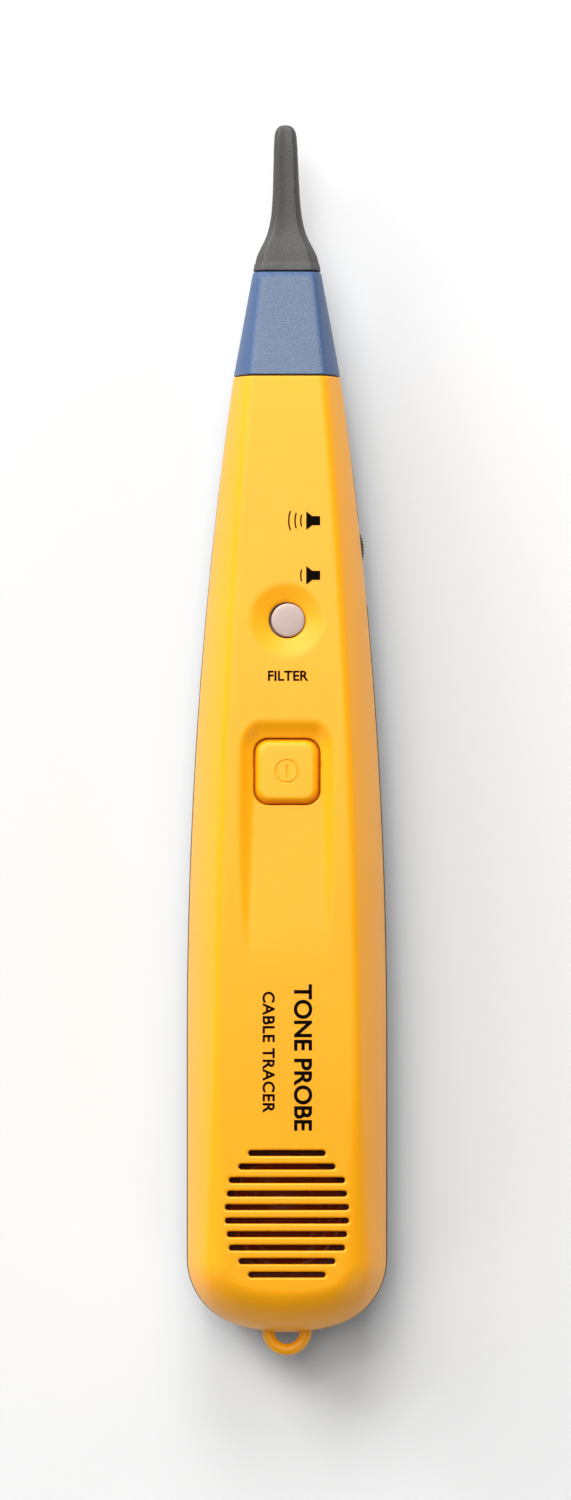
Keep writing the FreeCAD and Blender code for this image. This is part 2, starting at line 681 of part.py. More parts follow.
def make_filter_button():
    """Round translucent button: domed face, flange and a stem down to its switch."""
    top = crown_z(FILTER_Y) - DISH_DEPTH + FILTER_PROUD
    r = FILTER_RADIUS
    cap = post(0, FILTER_Y, r, FILTER_FLANGE_Z[0], top)
    cap = cap.makeFillet(0.7, [e for e in cap.Edges if e.BoundBox.ZMin > top - 0.1])
    return joined(
        cap,
        post(0, FILTER_Y, r + 1.1, *FILTER_FLANGE_Z),
        post(0, FILTER_Y, 1.9, FILTER_PLUNGER_TOP, FILTER_FLANGE_Z[0] + 0.5),
    )


def make_volume_wheel():
    """Thin finely toothed wheel with a sunk seat for its screw."""
    points = []
    for i in range(WHEEL_TEETH):
        for fraction, radius in ((0.0, WHEEL_RADIUS), (0.5, WHEEL_RADIUS - TOOTH_DEPTH)):
            a = 2 * math.pi * (i + fraction) / WHEEL_TEETH
            points.append(V(WHEEL_X + radius * math.cos(a), WHEEL_Y + radius * math.sin(a), WHEEL_Z[0]))
    wheel = Part.Face(Part.makePolygon(points + [points[0]])).extrude(V(0, 0, WHEEL_Z[1] - WHEEL_Z[0]))
    cuts = [
        post(WHEEL_X, WHEEL_Y, 2.6, WHEEL_Z[0] - 1, WHEEL_Z[0] + 1.1),
        post(WHEEL_X, WHEEL_Y, SHAFT_RADIUS, WHEEL_Z[0] - 1, WHEEL_Z[1] + 1),
    ]
    for i in range(6):
        a = math.pi * i / 3
        x, y = WHEEL_X + 5.2 * math.cos(a), WHEEL_Y + 5.2 * math.sin(a)
        cuts.append(post(x, y, 1.1, WHEEL_Z[0] - 1, WHEEL_Z[0] + 0.8))
    return wheel.cut(cuts)


def make_pot_shaft():
    """Stub shaft of the volume control, tapped for the wheel's screw."""
    shaft = post(WHEEL_X, WHEEL_Y, SHAFT_RADIUS, WHEEL_Z[0] + 1.1, BOARD_Z[0] - 0.3)
    return shaft.cut(post(WHEEL_X, WHEEL_Y, 0.7, WHEEL_Z[0], WHEEL_Z[0] + 3.2))


def make_volume_pot():
    """Flat body of the volume control, under the board."""
    body = post(WHEEL_X, WHEEL_Y, 4.8, WHEEL_Z[1] + 0.3, BOARD_Z[0])
    lug = box(WHEEL_X - 8.4, WHEEL_X - 3, WHEEL_Y - 3.5, WHEEL_Y + 3.5, WHEEL_Z[1] + 0.8, BOARD_Z[0])
    return joined(body, lug).cut(post(WHEEL_X, WHEEL_Y, SHAFT_RADIUS + 0.05, 0, BOARD_Z[0] - 0.2))


def make_wheel_screw():
    """Small pan-head screw that holds the wheel on its shaft."""
    low = WHEEL_Z[0] + 0.1
    head = post(WHEEL_X, WHEEL_Y, 2.3, low, WHEEL_Z[0] + 1.1)
    slot = box(WHEEL_X - 3, WHEEL_X + 3, WHEEL_Y - 0.25, WHEEL_Y + 0.25, low - 1, low + 0.4)
    return joined(head, post(WHEEL_X, WHEEL_Y, 0.7, low + 0.5, WHEEL_Z[0] + 3.1)).cut(slot)


def switch_pair(y, half, body_top, bore, plunger_low, plunger_top, square):
    """Switch body on the board and the plunger that slides in it."""
    body = box(-half, half, y - half, y + half, BOARD_Z[1], body_top)

    def stem(r, z0, z1):
        return box(-r, r, y - r, y + r, z0, z1) if square else post(0, y, r, z0, z1)

    body = body.cut(stem(bore, plunger_low - 1.0, body_top + 1))
    return body, stem(bore - 0.2, plunger_low, plunger_top)


def make_earphone_jack():
    """Earphone socket under the board, its round nose through the side of the rear cover."""
    body = box(JACK_MOUTH_X + 4.2, JACK_MOUTH_X + 15.0, JACK_Y - 4.5, JACK_Y + 4.5, JACK_Z - 3.3, BOARD_Z[0])
    nose = rod(JACK_NOSE_RADIUS, V(JACK_MOUTH_X, JACK_Y, JACK_Z), V(JACK_MOUTH_X + 5, JACK_Y, JACK_Z))
    end = V(JACK_MOUTH_X + JACK_DEPTH, JACK_Y, JACK_Z)
    return joined(body, nose).cut(rod(JACK_BORE, V(JACK_MOUTH_X - 1, JACK_Y, JACK_Z), end))


def make_case_screws():
    """Five cross-recess screws that clamp the shells together."""
    solids = []
    radius, height = SCREW_HEAD
    for x, y, seat, top in CASE_SCREWS:
        head = post(x, y, radius, seat - height, seat)
        screw = head.fuse(post(x, y, SCREW_SHANK, seat - 0.2, top))
        low = seat - height - 0.1
        cross = box(x - 1.3, x + 1.3, y - 0.3, y + 0.3, low, low + 1.0)
        cross = cross.fuse(box(x - 0.3, x + 0.3, y - 1.3, y + 1.3, low, low + 1.0))
        solids.append(screw.cut(cross))
    return Part.makeCompound(solids)


# ---------------------------------------------------------------- board and electronics


def make_main_board():
    """Circuit board that follows the housing, hung from the front cover's posts."""
    outline = Part.Face(plan_wire(FRONT_HALF, BOARD_INSET, BOARD_Z[0]))
    blank = outline.extrude(V(0, 0, BOARD_Z[1] - BOARD_Z[0]))
    blank = blank.common(box(-30, 30, BOARD_Y[0], BOARD_Y[1], 0, HEIGHT))
    return blank.cut([post(x, y, 1.0, 0, HEIGHT) for x, y in BOARD_SCREWS])


def make_board_screws():
    """Three small pan-head screws under the board."""
    solids = []
    for x, y in BOARD_SCREWS:
        head = post(x, y, 1.7, BOARD_Z[0] - 1.2, BOARD_Z[0])
        slot = box(x - 2, x + 2, y - 0.2, y + 0.2, BOARD_Z[0] - 2, BOARD_Z[0] - 0.8)
        solids.append(head.fuse(post(x, y, 0.8, BOARD_Z[0] - 0.5, BOARD_Z[1] + 5.0)).cut(slot))
    return Part.makeCompound(solids)


def chip(x, y, width, length, legs):
    """Flat chip on the board with a row of legs on each side."""
    z = BOARD_Z[1]
    shape = box(x - width / 2, x + width / 2, y - length / 2, y + length / 2, z + 0.1, z + 1.6)
    for i in range(legs):
        leg_y = y + (i - (legs - 1) / 2) * 1.27
        reach = width / 2 + 1.0
        shape = shape.fuse(box(x - reach, x + reach, leg_y - 0.2, leg_y + 0.2, z, z + 0.7))
    return shape


def make_capacitors():
    """Three upright can capacitors."""
    cans = []
    for x, y, r, h in ((8.9, 5.5, 2.5, 7.0), (-9.2, -17.5, 3.1, 8.5), (9.2, -19.0, 2.5, 7.0)):
        can = post(x, y, r, BOARD_Z[1], BOARD_Z[1] + h)
        cans.append(can.makeFillet(0.35, [e for e in can.Edges if e.BoundBox.ZMin > BOARD_Z[1] + h - 0.1]))
    return Part.makeCompound(cans)


def make_resistors():
    """Chip resistors in two rows."""
    z = BOARD_Z[1]
    solids = []
    for x, y0, n in ((-5.6, 32.0, 4), (5.8, 31.0, 4)):
        for i in range(n):
            y = y0 + i * 3.0
            solids.append(box(x - 1.0, x + 1.0, y - 0.6, y + 0.6, z, z + 0.5))
    return Part.makeCompound(solids)


def make_shield_can():
    """Tinned can over the input stage at the board's nose end."""
    z = BOARD_Z[1]
    can = slab(-3.4, 6.6, 44.5, 55.5, 0.8, z, z + 3.2)
    return can.cut(slab(-3.1, 6.3, 44.8, 55.2, 0.5, z - 1, z + 2.9))


# ---------------------------------------------------------------- speaker


def make_speaker_frame():
    """Pressed frame of the speaker: rim, dished wall and back."""
    r = SPEAKER_RADIUS
    top = SPEAKER_SEAT_Z - GASKET_THICKNESS
    points = [(11.7, top), (r, top), (r, top - 1.0), (12.2, top - 1.0), (9.4, SPEAKER_BACK_Z + 1.0)]
    points += [(8.6, SPEAKER_BACK_Z + 1.0), (8.6, SPEAKER_BACK_Z + 1.8), (9.0, SPEAKER_BACK_Z + 1.8)]
    points += [(11.7, top - 0.6)]
    return turned(points, V(0, GRILLE_Y, 0))


def make_speaker_cone():
    """Thin film diaphragm: a dome inside a corrugated surround."""
    top = SPEAKER_SEAT_Z - GASKET_THICKNESS
    upper = []
    for i in range(24):
        r = 11.5 * i / 23
        t = max(0.0, (r - 6.0) / 5.5)
        dome = max(0.0, 1.0 - (r / 6.0) ** 2)
        upper.append((r, top - 1.3 + dome + 0.28 * math.sin(3 * math.pi * t) + 0.75 * t * t))
    lower = [(r, z - 0.12) for r, z in reversed(upper)]
    return turned(upper + lower, V(0, GRILLE_Y, 0))


def make_speaker_magnet():
    """Round magnet and yoke cup behind the frame."""
    cup = post(0, GRILLE_Y, 8.5, SPEAKER_BACK_Z, SPEAKER_BACK_Z + 2.6)
    return cup.cut(post(0, GRILLE_Y, 5.6, SPEAKER_BACK_Z + 0.8, SPEAKER_BACK_Z + 5)).fuse(
        post(0, GRILLE_Y, 5.0, SPEAKER_BACK_Z + 0.7, SPEAKER_BACK_Z + 2.2)
    )


# ---------------------------------------------------------------- battery and leads


def battery_box_corners():
    """Low and high corners of the battery, in the order box() takes them."""
    w, length, h = BATTERY
    z = BATTERY_FLOOR_Z
    return (-w / 2, w / 2, BATTERY_HEEL_Y, BATTERY_HEEL_Y + length, z, z + h)


def make_battery():
    """Nine-volt block."""
    x0, x1, y0, y1, z0, z1 = battery_box_corners()
    body = box(x0, x1, y0, y1, z0, z1)
    return body.makeFillet(1.6, [e for e in body.Edges if e.BoundBox.YLength > 40])


def make_battery_terminals():
    """Plain post and crowned socket on the battery's end."""
    y = battery_box_corners()[3]
    z = BATTERY_FLOOR_Z + BATTERY[2] / 2
    plus = rod(2.7, V(-6.35, y, z), V(-6.35, y + 2.6, z))
    minus = rod(3.9, V(6.35, y, z), V(6.35, y + 2.6, z))
    minus = minus.cut(rod(3.2, V(6.35, y + 0.5, z), V(6.35, y + 3, z)))
    return Part.makeCompound([plus, minus])


def make_battery_snap():
    """Snap connector on the battery's terminals."""
    y = battery_box_corners()[3] + 2.6
    z = BATTERY_FLOOR_Z + BATTERY[2] / 2
    plate = box(-12.6, 12.6, y, y + 2.6, z - 5.6, z + 5.6)
    return plate.makeFillet(1.5, [e for e in plate.Edges if e.BoundBox.YLength > 2])


def lead(points, radius):
    """Insulated wire along straight runs with rounded corners."""
    solids = []
    for a, b in zip(points, points[1:]):
        solids.append(rod(radius, V(*a), V(*b)))
    for p in points[1:-1]:
        solids.append(Part.makeSphere(radius, V(*p)))
    return joined(*solids)


def make_battery_leads():
    """Two leads from the snap through the box wall to the board, in the order red, black."""
    y = battery_box_corners()[3] + 5.2
    z = BATTERY_FLOOR_Z + BATTERY[2] / 2
    leads = []
    for x in (3.2, 5.0):
        path = [(x, y, z + 3.0), (x, y + 0.9, z + 3.0), (x, y + 0.9, 17.0), (x, -42.0, 17.0)]
        path += [(x, -38.0, 18.6), (x, -33.0, 18.6), (x, -33.0, BOARD_Z[1])]
        leads.append(lead(path, 0.6))
    return leads


def make_speaker_leads():
    """Pair of thin leads from the speaker to the board, over the battery box."""
    solids = []
    for x in (-4.0, -5.6):
        path = [(x, -82.1, 24.4), (x, -78.1, 22.6), (x, -47.0, 22.6)]
        path += [(x, -37.0, 18.2), (x, -33.0, 18.2), (x, -33.0, BOARD_Z[1])]
        solids.append(lead(path, 0.45))
    return Part.makeCompound(solids)


def make_antenna_lead():
    """Lead from the board's nose to the contact pin."""
    path = [(3.6, 56.0, BOARD_Z[1] + 0.4), (4.4, 59.0, 17.4), (4.4, 66.5, 16.5)]
    path += [(0, 72.0, PART_Z), (0, 76.4, PART_Z)]
    return lead(path, 0.45)


def build():
    """All nodes by name."""
    power_body, power_plunger = switch_pair(POWER_Y, 4.25, 24.2, 2.0, 21.5, POWER_FLANGE_Z[0], True)
    filter_body, filter_plunger = switch_pair(FILTER_Y, 3.0, 20.1, 1.95, 18.6, FILTER_PLUNGER_TOP, False)
    red, black = make_battery_leads()
    seat = SPEAKER_SEAT_Z
    gasket = post(0, GRILLE_Y, SPEAKER_RADIUS - 0.1, seat - GASKET_THICKNESS, seat)
    led = post(5.4, FILTER_Y, 1.5, BOARD_Z[1], 20.0).fuse(Part.makeSphere(1.5, V(5.4, FILTER_Y, 20.0)))
    return {
        "front_cover": make_front_cover(),
        "rear_cover": make_rear_cover(),
        "battery_door": make_battery_door(),
        "nose_collar": make_nose_collar(),
        "probe_tip": make_probe_tip(),
        "tip_contact_pin": make_tip_contact_pin(),
        "power_button": make_power_button(),
        "filter_button": make_filter_button(),
        "volume_wheel": make_volume_wheel(),
        "wheel_screw": make_wheel_screw(),
        "pot_shaft": make_pot_shaft(),
        "volume_pot": make_volume_pot(),
        "earphone_jack": make_earphone_jack(),
        "case_screws": make_case_screws(),
        "main_board": make_main_board(),
        "board_screws": make_board_screws(),
        "power_switch_body": power_body,
        "power_switch_plunger": power_plunger,
        "filter_switch_body": filter_body,
        "filter_switch_plunger": filter_plunger,
        "filter_led": led,
        "amplifier_chip": chip(0.0, 10.5, 4.0, 5.0, 4),
        "filter_chip": chip(-7.6, 17.5, 4.0, 8.8, 7),
        "electrolytic_capacitors": make_capacitors(),
        "chip_resistors": make_resistors(),
        "shield_can": make_shield_can(),
        "speaker_gasket": gasket.cut(post(0, GRILLE_Y, 12.4, 0, HEIGHT)),
        "speaker_frame": make_speaker_frame(),
        "speaker_cone": make_speaker_cone(),
        "speaker_magnet": make_speaker_magnet(),
        "battery": make_battery(),
        "battery_terminals": make_battery_terminals(),
        "battery_snap": make_battery_snap(),
        "battery_lead_red": red,
        "battery_lead_black": black,
        "battery_pad": box(-8, 8, -96, -68, DOOR_WALL, BATTERY_FLOOR_Z - 0.05),
        "speaker_leads": make_speaker_leads(),
        "antenna_lead": make_antenna_lead(),
    }


if __name__ == "__main__":
    os.makedirs("parts", exist_ok=True)
    for node, shape in build().items():
        shape.exportStep(os.path.join("parts", node + ".step"))
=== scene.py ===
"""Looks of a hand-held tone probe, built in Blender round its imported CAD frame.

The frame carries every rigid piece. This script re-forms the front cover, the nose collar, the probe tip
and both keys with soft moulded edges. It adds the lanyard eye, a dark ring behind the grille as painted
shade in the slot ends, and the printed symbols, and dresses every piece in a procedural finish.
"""

import logging
import math
from collections.abc import Callable
from dataclasses import dataclass, field
from enum import Enum

import bmesh
import bpy
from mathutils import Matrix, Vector


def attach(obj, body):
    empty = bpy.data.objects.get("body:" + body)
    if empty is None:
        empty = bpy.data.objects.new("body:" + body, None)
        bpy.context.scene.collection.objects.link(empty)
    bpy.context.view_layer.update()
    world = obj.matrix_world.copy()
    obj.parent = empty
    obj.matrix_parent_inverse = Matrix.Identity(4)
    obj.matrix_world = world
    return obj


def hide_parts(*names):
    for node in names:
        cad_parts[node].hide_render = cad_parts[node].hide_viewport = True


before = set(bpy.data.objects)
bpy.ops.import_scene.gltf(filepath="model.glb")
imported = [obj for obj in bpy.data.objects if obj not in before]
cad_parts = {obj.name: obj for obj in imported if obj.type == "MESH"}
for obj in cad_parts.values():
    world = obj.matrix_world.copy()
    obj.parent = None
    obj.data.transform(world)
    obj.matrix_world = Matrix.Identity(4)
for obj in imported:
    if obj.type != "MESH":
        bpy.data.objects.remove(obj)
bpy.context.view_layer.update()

LOG = logging.getLogger("tone_probe")
MM = 0.001
CORNER_STEPS = 5
CORNER_REACH = 0.48
Colour = tuple[float, float, float]
Point = tuple[float, float, float]
Plan = tuple[float, float]
Socket = bpy.types.NodeSocket
Input = float | tuple[float, ...] | Socket
Values = dict[str | int, Input]


class Body(Enum):
    """Rigid bodies of the frame that new pieces ride on."""

    HOUSING = "housing"
    POWER_KEY = "power_key"
    FILTER_KEY = "filter_key"
    TIP = "tip"


class Slot(Enum):
    """Material slot names; each new piece is passed one, but nothing reads it."""

    YELLOW = "yellow_plastic"
    BLUE = "blue_plastic"
    CONDUCTIVE = "conductive_plastic"
    BLACK = "black_plastic"
    MILKY = "translucent_plastic"


# ---------------------------------------------------------------- shape of the housing


def smooth_min(a: float, b: float, k: float) -> float:
    """Lower of two heights, blended over k where they come close.

    Args:
        a: First height.
        b: Second height.
        k: Width of the blend, above zero.

    Returns:
        The blended lower height.
    """
    h = max(k - abs(a - b), 0.0) / k
    return min(a, b) - h * h * k * 0.25


def ease(t: float) -> float:
    """Smooth step from 0 to 1."""
    return t * t * (3 - 2 * t)


@dataclass(frozen=True)
class HousingForm:
    """Outer form of the front cover in millimetres, matching the CAD shell."""

    half: float = 20.1
    nose_half: float = 10.83
    nose_y: float = 73.3
    shoulder_y: float = -60.0
    heel_y: float = -119.9
    corner_radius: float = 14.0
    heel_radius: float = 34.0
    part_z: float = 15.0
    height: float = 33.0
    crown_y: float = -40.0
    crown_radius: float = 750.0
    seam_lean: float = math.radians(4.0)
    edge_lean: float = math.radians(33.0)
    side_edge: float = 2.2
    heel_edge: float = 10.5
    corner_share: float = 0.6
    heel_run: float = 3.0

    @property
    def side_radius(self) -> float:
        """Radius of the long side arc in plan."""
        drop = self.half - self.nose_half
        return ((self.nose_y - self.shoulder_y) ** 2 + drop**2) / (2 * drop)

    @property
    def corner_x(self) -> float:
        """Distance of the heel corner's centre from the middle."""
        return self.half - self.corner_radius

    @property
    def corner_y(self) -> float:
        """Distance along the probe of the heel corner's centre."""
        reach = self.heel_radius - self.corner_radius
        return self.heel_y + self.heel_radius - math.sqrt(reach**2 - self.corner_x**2)

    @property
    def hub_y(self) -> float:
        """Distance along the probe of the heel arc's centre."""
        return self.heel_y + self.heel_radius

    @property
    def turn(self) -> float:
        """Angle at which the heel corner meets the heel arc."""
        return math.atan2(self.corner_x, self.hub_y - self.corner_y)

    def crown(self, y: float) -> float:
        """Height of the crowned top at y."""
        r = self.crown_radius
        return self.height - r + math.sqrt(r * r - (y - self.crown_y) ** 2)

    def inward(self, x: float, y: float) -> float:
        """Distance from the seam outline in plan, positive inside.

        Args:
            x: Across the probe.
            y: Along the probe.

        Returns:
            The distance in millimetres.
        """
        x = abs(x)
        if y > self.shoulder_y:
            r = self.side_radius
            return r - math.hypot(x - (self.half - r), y - self.shoulder_y)
        if y > self.corner_y:
            return self.half - x
        if math.atan2(x - self.corner_x, self.corner_y - y) >= self.turn:
            return self.corner_radius - math.hypot(x - self.corner_x, y - self.corner_y)
        return self.heel_radius - math.hypot(x, y - self.hub_y)

    def half_width(self, y: float) -> float:
        """Half width of the seam outline at y.

        Args:
            y: Along the probe.

        Returns:
            The half width in millimetres.
        """
        if y > self.shoulder_y:
            r = self.side_radius
            return self.half - r + math.sqrt(r * r - (y - self.shoulder_y) ** 2)
        if y > self.corner_y:
            return self.half
        if y > self.corner_y - self.corner_radius * math.cos(self.turn):
            return self.corner_x + math.sqrt(self.corner_radius**2 - (y - self.corner_y) ** 2)
        return math.sqrt(max(self.heel_radius**2 - (y - self.hub_y) ** 2, 0.0))

    def edge_radius(self, y: float) -> float:
        """Radius of the rounding between flank and top, which swells towards the heel.

        Args:
            y: Along the probe.

        Returns:
            The radius in millimetres.
        """
        if y > self.shoulder_y:
            return self.side_edge
        middle = self.heel_edge * self.corner_share
        if y > self.corner_y:
            t = (self.shoulder_y - y) / (self.shoulder_y - self.corner_y)
            return self.side_edge + (middle - self.side_edge) * ease(t)
        t = min(1.0, (self.corner_y - y) / (self.corner_y - self.heel_y - self.heel_run))
        return middle + (self.heel_edge - middle) * ease(t)

    def skin(self, x: float, y: float) -> float:
        """Height of the plain outer skin, before recess and dish.

        Args:
            x: Across the probe.
            y: Along the probe.

        Returns:
            Height in millimetres.
        """
        return self.flank(self.inward(x, y), self.crown(y), self.edge_radius(y))

    def flank(self, s: float, top: float, r: float) -> float:
        """Height of the bulging flank and its rounded upper edge.

        Args:
            s: Distance inside the seam outline.
            top: Height of the level top.
            r: Radius of the upper edge.

        Returns:
            Height in millimetres.
        """
        if s <= 0:
            return self.part_z
        bulge = (top - self.part_z) / (math.sin(self.edge_lean) - math.sin(self.seam_lean))
        hub_s = bulge * math.cos(self.seam_lean)
        hub_z = self.part_z - bulge * math.sin(self.seam_lean)
        edge_z = top - r
        edge_s = hub_s - math.sqrt((bulge - r) ** 2 - (edge_z - hub_z) ** 2)
        if s >= edge_s:
            return top
        touch = hub_s + (edge_s - hub_s) * bulge / (bulge - r)
        if s > touch:
            return edge_z + math.sqrt(max(r * r - (s - edge_s) ** 2, 0.0))
        return hub_z + math.sqrt(bulge * bulge - (hub_s - s) ** 2)


FORM = HousingForm()
INNER = HousingForm(
    half=18.1, nose_half=8.83, heel_y=-117.9, corner_radius=12.0, heel_radius=32.0, height=31.0
)


# ---------------------------------------------------------------- mesh helpers


def clear_selection() -> None:
    """Leaves object mode with nothing selected."""
    if bpy.context.object and bpy.context.object.mode != "OBJECT":
        bpy.ops.object.mode_set(mode="OBJECT")
    bpy.ops.object.select_all(action="DESELECT")


def focus(obj: bpy.types.Object) -> None:
    """Makes obj the only selected and the active object.

    Args:
        obj: The object.
    """
    clear_selection()
    obj.select_set(True)
    bpy.context.view_layer.objects.active = obj


def settle(obj: bpy.types.Object, name: str) -> bpy.types.Object:
    """Names a new piece and moves its place into its mesh.

    Args:
        obj: The piece.
        name: Its name.

    Returns:
        The same piece, its object at the origin.
    """
    obj.name = name
    obj.data.name = name
    focus(obj)
    bpy.ops.object.transform_apply(location=True, rotation=True, scale=True)
    return obj


def apply_modifiers(obj: bpy.types.Object) -> None:
    """Applies every modifier in order.

    Args:
        obj: The piece.
    """
    focus(obj)
    for modifier in list(obj.modifiers):
        bpy.ops.object.modifier_apply(modifier=modifier.name)


def join(parts: list[bpy.types.Object]) -> bpy.types.Object:
    """Joins pieces into the first of them.

    Args:
        parts: The pieces.

    Returns:
        The joined piece.
    """
    clear_selection()
    for part in parts:
        part.select_set(True)
    bpy.context.view_layer.objects.active = parts[0]
    bpy.ops.object.join()
    return bpy.context.object


def pick_faces(obj: bpy.types.Object, test: Callable[[Vector, Vector], bool]) -> None:
    """Selects only the faces whose centre and normal pass the test, in edit mode.

    Args:
        obj: The active object, in edit mode.
        test: Function of (centre, normal) in the object's own frame.
    """
    mesh = bmesh.from_edit_mesh(obj.data)
    for face in mesh.faces:
        face.select_set(False)
    for face in mesh.faces:
        if test(face.calc_center_median(), face.normal):
            face.select_set(True)
    bmesh.update_edit_mesh(obj.data)


def turn_outwards(obj: bpy.types.Object) -> None:
    """Makes the normals of a closed piece point outwards.

    Args:
        obj: The piece.
    """
    focus(obj)
    bpy.ops.object.mode_set(mode="EDIT")
    bpy.ops.mesh.select_all(action="SELECT")
    bpy.ops.mesh.normals_make_consistent(inside=False)
    bpy.ops.object.mode_set(mode="OBJECT")


def shade(obj: bpy.types.Object, degrees: float = 35.0) -> None:
    """Smooth shading that keeps edges sharper than the angle.

    Args:
        obj: The piece.
        degrees: The angle.
    """
    focus(obj)
    bpy.ops.object.shade_smooth_by_angle(angle=math.radians(degrees))


def extrude_to(obj: bpy.types.Object, lift: Point, place: Callable[[Vector], Point]) -> None:
    """Extrudes the selected faces and puts each new corner in its place, all in millimetres.

    Args:
        obj: The active object, in edit mode.
        lift: First move of the new corners.
        place: New place of a corner, from its moved one.
    """
    bpy.ops.mesh.extrude_region_move(TRANSFORM_OT_translate={"value": tuple(step * MM for step in lift)})
    mesh = bmesh.from_edit_mesh(obj.data)
    for vertex in [v for v in mesh.verts if v.select]:
        vertex.co = Vector(place(vertex.co / MM)) * MM
    bmesh.update_edit_mesh(obj.data)


def skin_rings(name: str, rings: list[list[Point]]) -> bpy.types.Object:
    """Closed form through rings of equal count: a filled circle extruded from ring to ring.

    Args:
        name: Name of the piece.
        rings: Points of each ring in millimetres, in the same order round.

    Returns:
        The piece, its normals outwards.
    """
    clear_selection()
    bpy.ops.mesh.primitive_circle_add(vertices=len(rings[0]), radius=MM, fill_type="NGON")
    obj = settle(bpy.context.object, name)
    for vertex, spot in zip(obj.data.vertices, rings[0]):
        vertex.co = Vector(spot) * MM
    bpy.ops.object.mode_set(mode="EDIT")
    bpy.ops.mesh.select_mode(type="VERT")
    bpy.ops.mesh.select_all(action="SELECT")
    for before, after in zip(rings, rings[1:]):

        def follow(spot: Vector) -> Point:
            """Point of the next ring that continues the nearest point of this one."""
            gaps = [(x - spot.x) ** 2 + (z - spot.z) ** 2 for x, _, z in before]
            return after[gaps.index(min(gaps))]

        extrude_to(obj, (0, 1, 0), follow)
    bpy.ops.object.mode_set(mode="OBJECT")
    turn_outwards(obj)
    return obj


def rounded_ring(corners: list[Point], y: float) -> list[Point]:
    """Closed section across the probe whose corners are rounded.

    Args:
        corners: (x, z, radius) of each corner, in order round.
        y: Place along the probe.

    Returns:
        The points of the ring.
    """
    ring = []
    for i, (x, z, r) in enumerate(corners):
        here = Vector((x, z))
        back = Vector(corners[i - 1][:2]) - here
        on = Vector(corners[(i + 1) % len(corners)][:2]) - here
        reach = min(r, back.length * CORNER_REACH, on.length * CORNER_REACH)
        start, end = here + back.normalized() * reach, here + on.normalized() * reach
        for n in range(CORNER_STEPS):
            t = n / (CORNER_STEPS - 1)
            spot = start * (1 - t) ** 2 + here * 2 * t * (1 - t) + end * t * t
            ring.append((spot.x, y, spot.y))
    return ring


def cut_away(obj: bpy.types.Object, tool: bpy.types.Object) -> None:
    """Cuts a tool's form out of a piece and removes the tool.

    Args:
        obj: The piece.
        tool: Closed form to take away.
    """
    cut = obj.modifiers.new("cut", "BOOLEAN")
    cut.operation = "DIFFERENCE"
    cut.object = tool
    cut.solver = "EXACT"
    apply_modifiers(obj)
    bpy.data.objects.remove(tool, do_unlink=True)


def lengthwise_rod(radius: float, start: float, end: float, level: float) -> bpy.types.Object:
    """Round tool along the probe, in millimetres.

    Args:
        radius: Its radius.
        start: Where it starts along the probe.
        end: Where it ends.
        level: Height of its axis.

    Returns:
        The rod.
    """
    clear_selection()
    bpy.ops.mesh.primitive_cylinder_add(
        vertices=64,
        radius=radius * MM,
        depth=(end - start) * MM,
        location=(0, (start + end) / 2 * MM, level * MM),
        rotation=(math.radians(90), 0, 0),
    )
    return settle(bpy.context.object, "bore")


def mount_piece(obj: bpy.types.Object, body: Body, slot: Slot, finish: bpy.types.Material) -> None:
    """Dresses a finished piece and fixes it to its body.

    Args:
        obj: The piece.
        body: Body it rides on.
        slot: Not used.
        finish: Material.
    """
    obj.data.materials.clear()
    obj.data.materials.append(finish)
    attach(obj, body.value)
    LOG.info("piece %s on %s: %d faces", obj.name, body.value, len(obj.data.polygons))


# ---------------------------------------------------------------- shader helpers

TONE_SPAN = (0.3, 0.7)
ROUGH_SPAN = (0.25, 0.75)
FLECK_SPAN = (0.4, 0.62)
# Normal heights over which the painted top sheen fades in on upward faces.
PAINTED_SHEEN_FACING_SPAN = (0.90, 0.968)
SCUFF_SPAN = (0.28, 0.42)
SCUFF_POLISH = -0.12


